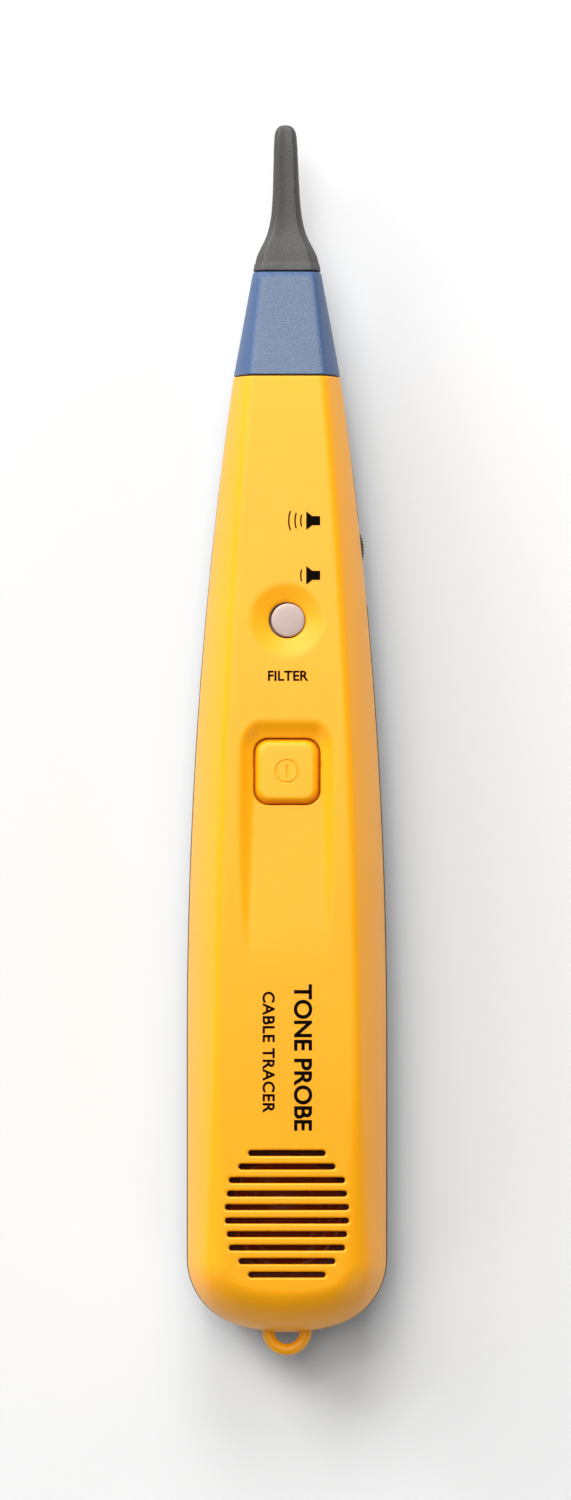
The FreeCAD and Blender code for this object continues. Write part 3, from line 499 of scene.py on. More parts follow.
class Bench:
    """A node tree being filled in."""

    def __init__(self, tree: bpy.types.NodeTree) -> None:
        """Starts with an empty tree."""
        self.tree = tree
        tree.nodes.clear()

    def add(self, kind: str, values: Values | None = None, **settings: object) -> bpy.types.Node:
        """Adds a node.

        Args:
            kind: Node type.
            values: Socket name or index to a value or an output socket.
            **settings: Node properties.

        Returns:
            The node.
        """
        node = self.tree.nodes.new(kind)
        for key, value in settings.items():
            setattr(node, key, value)
        for key, value in (values or {}).items():
            if isinstance(value, Socket):
                self.tree.links.new(value, node.inputs[key])
            else:
                node.inputs[key].default_value = value
        return node

    def place(self) -> Socket:
        """Object coordinates."""
        return self.add("ShaderNodeTexCoord").outputs["Object"]

    def maths(self, operation: str, a: Input, b: Input) -> Socket:
        """Output of a Math node."""
        return self.add("ShaderNodeMath", {0: a, 1: b}, operation=operation).outputs[0]

    def blend(self, factor: Input, a: Input, b: Input) -> Socket:
        """Output of a colour Mix node."""
        return self.add("ShaderNodeMix", {0: factor, 6: a, 7: b}, data_type="RGBA").outputs[2]

    def ramp(self, value: Input, span: Plan = (0.0, 1.0), low: Input = 0.0, high: Input = 1.0) -> Socket:
        """Value led from a span to the range low to high."""
        ends = {"From Min": span[0], "From Max": span[1], "To Min": low, "To Max": high}
        return self.add("ShaderNodeMapRange", {"Value": value, **ends}).outputs[0]

    def noise(self, place: Socket, scale: Input, detail: float, rough: float = 0.5) -> Socket:
        """Strength of a Noise texture."""
        values = {"Vector": place, "Scale": scale, "Detail": detail, "Roughness": rough}
        return self.add("ShaderNodeTexNoise", values).outputs["Fac"]

    def bump(self, height: Socket, strength: float, distance: float) -> Socket:
        """Normal bent by a height."""
        values = {"Height": height, "Strength": strength, "Distance": distance}
        return self.add("ShaderNodeBump", values).outputs[0]

    def surface(self, values: Values) -> None:
        """Ends the tree with a Principled shader of these values."""
        shader = self.add("ShaderNodeBsdfPrincipled", values)
        self.add("ShaderNodeOutputMaterial", {"Surface": shader.outputs[0]})


def new_material(name: str) -> tuple[bpy.types.Material, Bench]:
    """Empty material and the bench of its node tree.

    Args:
        name: Name of the material.

    Returns:
        The material and its bench.
    """
    material = bpy.data.materials.new(name)
    material.use_nodes = True
    return material, Bench(material.node_tree)


def opaque(colour: Colour) -> tuple[float, float, float, float]:
    """Colour with full alpha."""
    return (*colour, 1.0)


def new_group(name: str, inputs: dict[str, float], outputs: tuple[str, ...]) -> bpy.types.NodeTree:
    """Node group with its sockets and nothing in it.

    Args:
        name: Name of the group.
        inputs: Name and first value of each input.
        outputs: Name of each output.

    Returns:
        The node group.
    """
    group = bpy.data.node_groups.new(name, "ShaderNodeTree")
    for label, value in inputs.items():
        socket = group.interface.new_socket(label, in_out="INPUT", socket_type="NodeSocketFloat")
        socket.default_value = value
    for label in outputs:
        group.interface.new_socket(label, in_out="OUTPUT", socket_type="NodeSocketFloat")
    return group


def grain_group() -> bpy.types.NodeTree:
    """Moulded grain: a height and a slow tone that change over the surface.

    Returns:
        The node group, made once.
    """
    name = "moulded_grain"
    if name in bpy.data.node_groups:
        return bpy.data.node_groups[name]
    inputs = {"Grain Scale": 2500.0, "Tone Scale": 40.0, "Pitting": 0.3}
    group = new_group(name, inputs, ("Height", "Tone", "Fine"))
    bench = Bench(group)
    start = bench.add("NodeGroupInput").outputs
    place = bench.place()
    fine = bench.noise(place, start["Grain Scale"], 2.0, 0.55)
    cells = bench.add(
        "ShaderNodeTexVoronoi",
        {"Vector": place, "Scale": start["Grain Scale"], "Smoothness": 0.6},
        feature="SMOOTH_F1",
    ).outputs["Distance"]
    slow = bench.noise(place, start["Tone Scale"], 3.0)
    height = bench.maths("ADD", fine, bench.maths("MULTIPLY", cells, start["Pitting"]))
    bench.add("NodeGroupOutput", {"Height": height, "Tone": slow, "Fine": fine})
    return group


def wear_group() -> bpy.types.NodeTree:
    """Faint handling marks: a mask of fine scuffs.

    Returns:
        The node group, made once.
    """
    name = "handling_scuffs"
    if name in bpy.data.node_groups:
        return bpy.data.node_groups[name]
    group = new_group(name, {"Scale": 300.0, "Amount": 0.5}, ("Mask",))
    bench = Bench(group)
    start = bench.add("NodeGroupInput").outputs
    place = bench.place()
    drawn_out = {"Vector": place, "Scale": (1.0, 0.16, 1.0), "Rotation": (0, 0, 0.5)}
    stretched = bench.add("ShaderNodeMapping", drawn_out).outputs[0]
    marks = bench.noise(stretched, start["Scale"], 5.0, 0.7)
    patches = bench.noise(place, 30.0, 1.0)
    both = bench.maths("MULTIPLY", marks, patches)
    bench.add("NodeGroupOutput", {"Mask": bench.ramp(both, SCUFF_SPAN, 0.0, start["Amount"])})
    return group


@dataclass(frozen=True)
class MouldedPlastic:
    """Injection-moulded plastic with a fine texture."""

    name: str
    colour: Colour
    deep: Colour
    roughness: float = 0.45
    roughness_spread: float = 0.08
    grain_mm: float = 0.35
    grain_depth: float = 0.12
    pitting: float = 0.3
    tone_mm: float = 30.0
    specular: float = 0.5
    coat: float = 0.0
    coat_roughness: float = 0.25
    subsurface: float = 0.0
    subsurface_depth: float = 0.002
    subsurface_radius: Point = (1.0, 0.7, 0.6)
    scuffs: float = 0.25
    fleck: float = 0.05
    fleck_colour: Colour | None = None
    # Painted sheen: a lighter colour blended onto faces that point up, standing in for the overhead light's
    # reflection.
    painted_top_sheen: Colour | None = None

    def make(self) -> bpy.types.Material:
        """Builds the material.

        Returns:
            The material.
        """
        material, bench = new_material(self.name)
        scales = {"Grain Scale": 1.0 / (self.grain_mm * MM), "Tone Scale": 1.0 / (self.tone_mm * MM)}
        grain = bench.add("ShaderNodeGroup", {**scales, "Pitting": self.pitting}, node_tree=grain_group())
        scuff = bench.add("ShaderNodeGroup", {"Amount": self.scuffs}, node_tree=wear_group())
        fine = grain.outputs["Fine"]
        tone = bench.ramp(grain.outputs["Tone"], TONE_SPAN)
        base = bench.blend(tone, opaque(self.colour), opaque(self.deep))
        # Painted reflection: faces that point up are blended towards a lighter, greyer colour that stands in
        # for the overhead light's sheen.
        if self.painted_top_sheen:
            facing = bench.add("ShaderNodeTexCoord").outputs["Normal"]
            upward = bench.add("ShaderNodeSeparateXYZ", {0: facing}).outputs["Z"]
            base = bench.blend(bench.ramp(upward, PAINTED_SHEEN_FACING_SPAN), base, opaque(self.painted_top_sheen))
        fleck = bench.ramp(fine, FLECK_SPAN, high=self.fleck)
        base = bench.blend(fleck, base, opaque(self.fleck_colour or self.deep))
        spread = self.roughness_spread
        rough = bench.ramp(fine, ROUGH_SPAN, self.roughness - spread, self.roughness + spread)
        polish = bench.maths("MULTIPLY", scuff.outputs["Mask"], SCUFF_POLISH)
        bench.surface(
            {
                "Base Color": base,
                "Roughness": bench.maths("ADD", rough, polish),
                "Normal": bench.bump(grain.outputs["Height"], 1.0, self.grain_depth * MM * self.grain_mm),
                "Specular IOR Level": self.specular,
                "Coat Weight": self.coat,
                "Coat Roughness": self.coat_roughness,
                "Subsurface Weight": self.subsurface,
                "Subsurface Scale": self.subsurface_depth,
                "Subsurface Radius": self.subsurface_radius,
            }
        )
        return material


@dataclass(frozen=True)
class Metal:
    """Plated or bare metal with fine drawn lines."""

    name: str
    colour: Colour
    roughness: float = 0.3
    line_mm: float = 0.12
    stretch: float = 8.0
    polish: float = 0.7
    haze: float = 1.4
    tarnish: float = 0.7

    def make(self) -> bpy.types.Material:
        """Builds the material.

        Returns:
            The material.
        """
        material, bench = new_material(self.name)
        place = bench.place()
        stretch = {"Vector": place, "Scale": (1.0, self.stretch, 1.0)}
        drawn = bench.add("ShaderNodeMapping", stretch).outputs[0]
        lines = bench.noise(drawn, 1 / (self.line_mm * MM * self.stretch), 4.0)
        rough = bench.ramp(lines, low=self.roughness * self.polish, high=self.roughness * self.haze)
        dull = opaque(tuple(c * self.tarnish for c in self.colour))
        base = bench.blend(bench.noise(place, 400.0, 4.0), opaque(self.colour), dull)
        normal = bench.bump(lines, 0.3, 0.00002)
        bench.surface({"Base Color": base, "Roughness": rough, "Normal": normal, "Metallic": 1.0})
        return material


# ---------------------------------------------------------------- finishes

YELLOW = MouldedPlastic(
    "yellow_moulded",
    (0.98, 0.415, 0.003),
    (0.97, 0.39, 0.002),
    roughness=0.42,
    grain_mm=0.24,
    specular=0.38,
)
CHARCOAL = MouldedPlastic("charcoal_moulded", (0.045, 0.038, 0.034), (0.036, 0.031, 0.028), roughness=0.55)
BLUE = MouldedPlastic(
    "blue_textured",
    (0.044, 0.105, 0.245),
    (0.036, 0.090, 0.22),
    roughness=0.45,
    grain_mm=0.3,
    grain_depth=0.5,
    pitting=0.0,
    fleck=0.35,
    fleck_colour=(0.02, 0.055, 0.15),
    # Painted reflection of the overhead light on the collar's upper facet.
    painted_top_sheen=(0.122, 0.168, 0.255),
)
TIP_GREY = MouldedPlastic(
    "carbon_filled",
    (0.064, 0.059, 0.055),
    (0.052, 0.048, 0.045),
    roughness=0.42,
    grain_mm=0.26,
    grain_depth=0.4,
    pitting=0.0,
    fleck=0.5,
    fleck_colour=(0.015, 0.014, 0.013),
)
MILKY = MouldedPlastic(
    "milky_pink",
    (0.53, 0.42, 0.38),
    (0.49, 0.38, 0.34),
    roughness=0.38,
    grain_mm=0.6,
    grain_depth=0.05,
    subsurface=0.4,
    scuffs=0.1,
)
BLACK = MouldedPlastic("black_moulded", (0.014, 0.014, 0.014), (0.010, 0.010, 0.010), roughness=0.4)
WHITE = MouldedPlastic("white_moulded", (0.75, 0.75, 0.70), (0.70, 0.69, 0.64), roughness=0.4)
INK = MouldedPlastic(
    "legend_ink",
    (0.003, 0.002, 0.001),
    (0.005, 0.003, 0.002),
    roughness=0.8,
    grain_mm=0.2,
    specular=0.02,
    scuffs=0.1,
)
BOARD = MouldedPlastic("solder_mask", (0.01, 0.12, 0.045), (0.02, 0.18, 0.07), roughness=0.25, tone_mm=2.5)
# Partly painted shade: the foam, speaker film and basket are dark, as the real parts are, and are tinted
# reddish brown to stand for the warm shade seen through the grille slots.
SLOT_SHADE_FOAM = MouldedPlastic(
    "foam_slot_shade_tint", (0.10, 0.022, 0.008), (0.075, 0.016, 0.006), roughness=0.9, grain_depth=1.2
)
SLOT_SHADE_FILM = MouldedPlastic(
    "speaker_film", (0.22, 0.036, 0.005), (0.18, 0.028, 0.004), roughness=0.3, grain_depth=0.0, specular=0.1
)
SLOT_SHADE_BASKET = MouldedPlastic(
    "speaker_basket_slot_shade_tint", (0.20, 0.036, 0.008), (0.16, 0.028, 0.006), roughness=0.6, specular=0.2
)
CELL = MouldedPlastic("battery_wrap", (0.05, 0.055, 0.065), (0.035, 0.04, 0.05), roughness=0.3, tone_mm=12.0)
RED_WIRE = MouldedPlastic("red_insulation", (0.45, 0.015, 0.01), (0.35, 0.01, 0.008), roughness=0.45)
BLACK_WIRE = MouldedPlastic("black_insulation", (0.01, 0.01, 0.01), (0.016, 0.016, 0.016), roughness=0.45)
CERAMIC = MouldedPlastic("chip_ceramic", (0.02, 0.02, 0.02), (0.03, 0.03, 0.032), roughness=0.35)
LED = MouldedPlastic(
    "led_epoxy", (0.6, 0.06, 0.03), (0.5, 0.04, 0.02), roughness=0.1, coat=0.5, subsurface=0.3
)
STEEL = Metal("zinc_plated", (0.62, 0.62, 0.63))
TINNED = Metal("tinned_steel", (0.72, 0.72, 0.70), roughness=0.25)
BRASS = Metal("bright_brass", (0.80, 0.58, 0.25), roughness=0.22)
CAN = Metal("aluminium_can", (0.45, 0.47, 0.52), roughness=0.28)

NODE_FINISHES: tuple[tuple[MouldedPlastic | Metal, str], ...] = (
    (YELLOW, "front_cover power_button"),
    (CHARCOAL, "rear_cover battery_door"),
    (BLUE, "nose_collar"),
    (TIP_GREY, "probe_tip"),
    (BRASS, "tip_contact_pin pot_shaft"),
    (MILKY, "filter_button"),
    (BLACK, "volume_wheel volume_pot earphone_jack power_switch_body filter_switch_body"),
    (BLACK, "amplifier_chip filter_chip battery_snap"),
    (STEEL, "wheel_screw case_screws board_screws"),
    (BOARD, "main_board"),
    (WHITE, "power_switch_plunger filter_switch_plunger"),
    (LED, "filter_led"),
    (CAN, "electrolytic_capacitors"),
    (CERAMIC, "chip_resistors"),
    (TINNED, "shield_can speaker_magnet battery_terminals"),
    (SLOT_SHADE_FOAM, "speaker_gasket battery_pad"),
    (SLOT_SHADE_BASKET, "speaker_frame"),
    (SLOT_SHADE_FILM, "speaker_cone"),
    (CELL, "battery"),
    (RED_WIRE, "battery_lead_red antenna_lead"),
    (BLACK_WIRE, "battery_lead_black speaker_leads"),
)


@dataclass
class Wardrobe:
    """Materials made so far, one for each finish."""

    made: dict[str, bpy.types.Material] = field(default_factory=dict)

    def get(self, finish: MouldedPlastic | Metal) -> bpy.types.Material:
        """Material of a finish, built on first use.

        Args:
            finish: The finish.

        Returns:
            Its material.
        """
        if finish.name not in self.made:
            self.made[finish.name] = finish.make()
        return self.made[finish.name]

    def dress_frame(self) -> None:
        """Gives every CAD node its finish."""
        for finish, nodes in NODE_FINISHES:
            for node in nodes.split():
                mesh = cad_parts[node].data
                mesh.materials.clear()
                mesh.materials.append(self.get(finish))
                LOG.info("node %s dressed in %s", node, finish.name)


# ---------------------------------------------------------------- front cover


@dataclass
class FrontCover:
    """Yellow upper shell, re-formed as a fine skin with soft edges at recess, dish and slots."""

    thin_wall: float = 1.2
    power_y: float = -6.3
    power_half: float = 6.72
    power_corner: float = 2.97
    recess_start: float = 1.95
    recess_top: float = 0.6
    recess_fade: float = -41.0
    recess_depth: float = 1.7
    recess_half: float = 7.0
    recess_spread: float = 1.6
    recess_slope: float = 1.15
    recess_head: float = 0.7
    recess_corner: float = 1.8
    recess_soft: float = 1.4
    recess_sink: float = 0.55
    recess_blend: float = 0.45
    filter_y: float = 24.0
    filter_hole: float = 3.65
    dish_radius: float = 7.3
    dish_depth: float = 1.1
    dish_blend: float = 0.22
    hole_round: float = 0.35
    key_round: float = 0.3
    grille_y: float = -94.9
    slot_pitch: float = 2.72
    slot_width: float = 1.28
    slot_lengths: tuple[float, ...] = (24.9, 24.1, 23.3, 19.4, 15.5)
    slot_round: float = 0.34
    nose_round: float = 0.3
    recess_reach: Point = (13.0, -47.0, 9.0)
    dish_reach: float = 11.0
    key_reach: float = 8.0
    grille_reach: Plan = (14.0, 15.0)
    slot_reach: float = 1.2
    plain_step: float = 0.9
    nose_step: float = 0.07
    formed_step: float = 0.32
    key_step: float = 0.12
    grille_step: float = 0.14
    heel_step: Point = (0.05, 0.3, 0.22)
    formed: tuple[Plan, ...] = ((13.0, 36.0), (-46.0, 8.0))
    key_band: float = 0.5
    nose_band: float = 0.4
    heel_gap: float = 0.004
    grille_span: float = 14.5
    level_half: float = 10.9
    level_share: float = 0.56
    level_columns: int = 34
    flank_columns: int = 32
    flank_crowding: float = 1.5
    cutter_level: float = 28.0
    cutter_height: float = 20.0
    cutter_slack: float = 0.999

    def recess_floor(self, y: float) -> float:
        """Height of the recess floor at y.

        Args:
            y: Along the probe.

        Returns:
            Height in millimetres.
        """
        start = FORM.crown(self.recess_start) - self.recess_depth
        slope = (start - FORM.crown(self.recess_fade)) / (self.recess_start - self.recess_fade)
        return start + slope * (y - self.recess_start)

    def recess_height(self, x: float, y: float) -> float:
        """Height of the recess surface, floor and rising walls.

        Args:
            x: Across the probe.
            y: Along the probe.

        Returns:
            Height in millimetres.
        """
        t = (self.recess_top - y) / (self.recess_top - self.recess_fade)
        half = self.recess_half + self.recess_spread * t
        r = self.recess_corner
        dx = abs(x) - (half - r)
        dy = (y - self.recess_top) * self.recess_head + r
        out = math.hypot(max(dx, 0.0), max(dy, 0.0)) - r if dx > 0 or dy > 0 else max(dx, dy) - r
        soft = self.recess_soft
        rise = 0.5 * (out + math.sqrt(out * out + soft * soft) - soft * self.recess_sink)
        return self.recess_floor(y) + max(rise, 0.0) / self.recess_slope

    def dish_height(self, x: float, y: float) -> float:
        """Height of the dish round the filter button."""
        reach = (math.hypot(x, y - self.filter_y) - self.filter_hole) / (self.dish_radius - self.filter_hole)
        return FORM.crown(y) - self.dish_depth * (1.0 - max(reach, 0.0))

    def slots(self) -> list[tuple[float, float]]:
        """(y, length) of each grille slot.

        Returns:
            The slots in pairs, from the middle of the grille outwards.
        """
        rows = []
        for i, length in enumerate(self.slot_lengths):
            for side in (-1, 1):
                rows.append((self.grille_y + side * (i + 0.5) * self.slot_pitch, length))
        return rows

    def roll_off(self, gap: float, radius: float) -> float:
        """Drop of a rounded edge at a distance gap outside it.

        Args:
            gap: Distance outside the edge.
            radius: Radius of the rounding.

        Returns:
            The drop in millimetres.
        """
        if gap >= radius:
            return 0.0
        gap = max(gap, 0.0)
        return radius - math.sqrt(radius * radius - (radius - gap) ** 2)

    def height(self, x: float, y: float) -> float:
        """Height of the finished skin at a point in plan.

        Args:
            x: Across the probe.
            y: Along the probe.

        Returns:
            Height in millimetres.
        """
        z = FORM.skin(x, y) - self.roll_off(FORM.nose_y - y, self.nose_round)
        side, tail, front = self.recess_reach
        if tail < y < front and abs(x) < side:
            z = smooth_min(z, self.recess_height(x, y), self.recess_blend)
        if abs(y - self.filter_y) < self.dish_reach and abs(x) < self.dish_reach:
            z = smooth_min(z, self.dish_height(x, y), self.dish_blend)
            gap = math.hypot(x, y - self.filter_y) - self.filter_hole
            z -= self.roll_off(gap, self.hole_round)
        if abs(y - self.power_y) < self.key_reach and abs(x) < self.key_reach:
            inner = self.power_half - self.power_corner
            dx, dy = abs(x) - inner, abs(y - self.power_y) - inner
            gap = math.hypot(max(dx, 0), max(dy, 0)) + min(max(dx, dy), 0) - self.power_corner
            z -= self.roll_off(gap, self.key_round)
        if abs(x) < self.grille_reach[0] and abs(y - self.grille_y) < self.grille_reach[1]:
            for slot_y, length in self.slots():
                if abs(y - slot_y) < self.slot_reach:
                    dx = max(abs(x) - (length - self.slot_width) / 2, 0.0)
                    gap = math.hypot(dx, y - slot_y) - self.slot_width / 2
                    z -= self.roll_off(gap, self.slot_round)
        return z

    def step(self, y: float) -> float:
        """Distance from the station at y to the next, short where the surface turns quickly.

        Args:
            y: Along the probe.

        Returns:
            The distance in millimetres.
        """
        if y < self.grille_y - self.grille_span:
            least, most, share = self.heel_step
            return max(least, min(most, (y - FORM.heel_y) * share))
        if abs(y - self.grille_y) < self.grille_span:
            return self.grille_step
        if abs(abs(y - self.power_y) - self.power_half) < self.key_band:
            return self.key_step
        if any(low < y < high for low, high in self.formed):
            return self.formed_step
        return self.nose_step if y > FORM.nose_y - self.nose_band else self.plain_step

    def rows(self) -> list[float]:
        """Stations along the probe, from the nose to just short of the heel's end.

        Returns:
            The stations in millimetres.
        """
        stations = [FORM.nose_y]
        end = FORM.heel_y + self.heel_gap
        while stations[-1] > end:
            stations.append(max(stations[-1] - self.step(stations[-1]), end))
        return stations

    def columns(self, form: HousingForm, y: float) -> list[float]:
        """Positions across the probe at y, from the left seam to the right seam.

        Args:
            form: Outer or inner form.
            y: Along the probe.

        Returns:
            The positions in millimetres.
        """
        half = form.half_width(y)
        inner = min(self.level_half, half * self.level_share)
        right = [inner * i / self.level_columns for i in range(self.level_columns + 1)]
        for i in range(1, self.flank_columns + 1):
            t = i / self.flank_columns
            right.append(inner + (half - inner) * (1 - (1 - t) ** self.flank_crowding))
        return [-x for x in reversed(right[1:])] + right

    def under(self, x: float, y: float) -> float:
        """Height of the inner wall, which stays below recess and dish."""
        return min(INNER.skin(x, y), max(self.height(x, y) - self.thin_wall, FORM.part_z))

    def sheet(self, form: HousingForm, surface: Callable[[float, float], float]) -> bpy.types.Object:
        """Grid of quads laid on a surface.

        Args:
            form: Form whose outline the sheet fills.
            surface: Height at (x, y).

        Returns:
            The open sheet.
        """
        rows = self.rows()
        reach = (form.nose_y - form.heel_y) / (FORM.nose_y - FORM.heel_y)
        across = len(self.columns(form, 0.0))
        clear_selection()
        bpy.ops.mesh.primitive_grid_add(x_subdivisions=across - 1, y_subdivisions=len(rows) - 1, size=1)
        obj = bpy.context.object
        points = [v.co.copy() for v in obj.data.vertices]
        order = sorted(range(len(points)), key=lambda i: (-round(points[i].y, 6), round(points[i].x, 6)))
        for n, index in enumerate(order):
            y = FORM.nose_y - (FORM.nose_y - rows[n // across]) * reach
            x = self.columns(form, y)[n % across]
            obj.data.vertices[index].co = Vector((x, y, surface(x, y))) * MM
        return obj

    def cutters(self) -> bpy.types.Object:
        """Prisms for the slots, the filter hole and the power opening, as one object.

        Returns:
            The joined prisms.
        """
        parts = []
        for slot_y, length in self.slots():
            parts.append(self.prism(length / 2, self.slot_width / 2, self.slot_width / 2, slot_y, 10))
        h = self.power_half
        parts.append(self.prism(h, h, self.power_corner, self.power_y, 8))
        clear_selection()
        bpy.ops.mesh.primitive_cylinder_add(
            vertices=72,
            radius=self.filter_hole * MM,
            depth=self.cutter_height * MM,
            location=(0, self.filter_y * MM, self.cutter_level * MM),
        )
        parts.append(settle(bpy.context.object, "filter_hole"))
        return join(parts)

    def prism(self, half_x: float, half_y: float, corner: float, y: float, steps: int) -> bpy.types.Object:
        """Upright prism with rounded corners: a cube with bevelled upright edges.

        Args:
            half_x: Half its size across the probe.
            half_y: Half its size along the probe.
            corner: Radius of its corners.
            y: Its place along the probe.
            steps: Segments of each corner.

        Returns:
            The prism.
        """
        clear_selection()
        bpy.ops.mesh.primitive_cube_add(size=1, location=(0, y * MM, self.cutter_level * MM))
        obj = bpy.context.object
        obj.scale = (2 * half_x * MM, 2 * half_y * MM, self.cutter_height * MM)
        settle(obj, "opening")
        bevel_upright(obj, corner * MM * self.cutter_slack, steps)
        return obj

    def build(self, wardrobe: Wardrobe) -> None:
        """Makes the cover and puts it in place of the CAD shell.

        Args:
            wardrobe: Materials.
        """
        inner = self.sheet(INNER, self.under)
        obj = settle(join([self.sheet(FORM, self.height), inner]), "front_cover_shell")
        bpy.ops.object.mode_set(mode="EDIT")
        bpy.ops.mesh.select_all(action="DESELECT")
        bpy.ops.mesh.select_mode(type="EDGE")
        bpy.ops.mesh.select_non_manifold()
        bpy.ops.mesh.bridge_edge_loops()
        bpy.ops.mesh.select_mode(type="VERT")
        bpy.ops.object.mode_set(mode="OBJECT")
        turn_outwards(obj)
        cut_away(obj, self.cutters())
        shade(obj, 40)
        mount_piece(obj, Body.HOUSING, Slot.YELLOW, wardrobe.get(YELLOW))
        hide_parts("front_cover")


@dataclass
class LanyardEye:
    """Half ring at the heel, grown out of the front cover."""

    ring: float = 3.75
    wire: float = 1.2
    reach_y: float = -124.5
    level: float = 16.3
    inset: float = 0.02
    root: float = 1.6

    def build(self, wardrobe: Wardrobe) -> None:
        """Makes the eye: a ring cut off inside the cover's wall.

        Args:
            wardrobe: Materials.
        """
        centre = Vector((0, self.reach_y + self.ring + self.wire, self.level)) * MM
        clear_selection()
        bpy.ops.mesh.primitive_torus_add(
            location=centre,
            major_segments=96,
            minor_segments=28,
            major_radius=self.ring * MM,
            minor_radius=(self.wire - self.inset) * MM,
        )
        obj = settle(bpy.context.object, "lanyard_eye")
        bpy.ops.object.mode_set(mode="EDIT")
        bpy.ops.mesh.select_all(action="SELECT")
        cut = (0, (FORM.heel_y + self.root) * MM, 0)
        bpy.ops.mesh.bisect(plane_co=cut, plane_no=(0, 1, 0), use_fill=True, clear_outer=True)
        bpy.ops.object.mode_set(mode="OBJECT")
        shade(obj, 40)
        mount_piece(obj, Body.HOUSING, Slot.YELLOW, wardrobe.get(YELLOW))


@dataclass
class SlotShadeRing:
    """Dark brown ring behind the ends of the grille slots, round the speaker: painted shade that darkens what
    the slot ends show.
    """

    outer: float = 15.6
    inner: float = 11.9
    low: float = 27.3
    thickness: float = 0.3
    centre_y: float = -94.9

    def disc(self, radius: float, thickness: float, name: str) -> bpy.types.Object:
        """Level disc at the ring's height, in millimetres.

        Args:
            radius: Its radius.
            thickness: Its thickness.
            name: Its name.

        Returns:
            The disc.
        """
        clear_selection()
        bpy.ops.mesh.primitive_cylinder_add(
            vertices=96,
            radius=radius * MM,
            depth=thickness * MM,
            location=(0, self.centre_y * MM, (self.low + self.thickness / 2) * MM),
        )
        return settle(bpy.context.object, name)

    def build(self, wardrobe: Wardrobe) -> None:
        """Makes the ring.

        Args:
            wardrobe: Materials.
        """
        obj = self.disc(self.outer, self.thickness, "grille_liner")
        cut_away(obj, self.disc(self.inner, 3 * self.thickness, "liner_bore"))
        shade(obj, 40)
        # The reddish-brown finish on this ring is painted shade for the inside of the slot ends.
        mount_piece(obj, Body.HOUSING, Slot.BLACK, wardrobe.get(SLOT_SHADE_FOAM))


@dataclass
class NoseCollar:
    """Blue tapered collar between the shells and the tip, with bulging flanks and a facet above and below."""

    heel_y: float = 73.55
    nose_y: float = 94.6
    half: tuple[float, float] = (10.78, 6.9)
    top: tuple[float, float] = (24.34, 19.5)
    low_half: tuple[float, float] = (9.5, 6.1)
    low: tuple[float, float] = (7.65, 10.6)
    upper_edge: float = 1.05
    lower_edge: float = 1.4
    lip: float = 0.22
    lip_step: Plan = (0.07, 0.09)
    flank_share: float = 0.36
    flank_crowding: float = 1.8
    flank_steps: int = 14
    face_steps: int = 7
    edge_steps: int = 6
    stations: int = 12
    bore: float = 3.1
    bore_start: float = 80.0

    def ring(self, t: float, y: float, shrink: float) -> list[Point]:
        """Section at the fraction t from heel to nose.

        Args:
            t: 0 at the heel, 1 at the nose.
            y: Place along the probe.
            shrink: How far the section is drawn in.

        Returns:
            The points of the ring.
        """
        spans = (self.half, self.top, self.low_half, self.low)
        half, top, low_half, low = (a + (b - a) * t for a, b in spans)
        half, top, low_half, low = half - shrink, top - shrink, low_half - shrink, low + shrink
        upper = []
        for i in range(self.flank_steps + 1):
            s = self.flank_share * (top - FORM.part_z) * (i / self.flank_steps) ** self.flank_crowding
            upper.append((half - s, FORM.flank(s, top, self.upper_edge)))
        edge = upper[-1][0]
        for i in range(1, self.face_steps + 1):
            x = edge * (1 - i / self.face_steps)
            upper.append((x, FORM.flank(half - x, top, self.upper_edge)))
        lean = (half - low_half) / (FORM.part_z - low)
        lower = [(half - lean * d, FORM.part_z - d) for d in (1.5, 3.0)]
        r = self.lower_edge
        for i in range(self.edge_steps + 1):
            a = math.radians(90) * i / self.edge_steps
            lower.append((low_half - r + r * math.cos(a), low + r - r * math.sin(a)))
        lower += [((low_half - r) * 0.5, low), (0.0, low)]
        left = [(-x, z) for x, z in upper[-2::-1] + lower[:-1]]
        return [(x, y, z) for x, z in upper + left + lower[::-1]]

    def build(self, wardrobe: Wardrobe) -> None:
        """Makes the collar and puts it in place of the CAD one.

        Args:
            wardrobe: Materials.
        """
        span = self.nose_y - self.heel_y
        n = self.stations
        rim = ((0.0, self.lip), self.lip_step, (self.lip, 0.0))
        rings = [self.ring(d / span, self.heel_y + d, shrink) for d, shrink in rim]
        rings += [self.ring(i / n, self.heel_y + span * i / n, 0.0) for i in range(1, n)]
        rings += [self.ring(1 - d / span, self.nose_y - d, shrink) for d, shrink in reversed(rim)]
        obj = skin_rings("nose_collar_shell", rings)
        cut_away(obj, lengthwise_rod(self.bore, self.bore_start, self.nose_y + 2, FORM.part_z))
        shade(obj, 32)
        mount_piece(obj, Body.HOUSING, Slot.BLUE, wardrobe.get(BLUE))
        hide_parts("nose_collar")


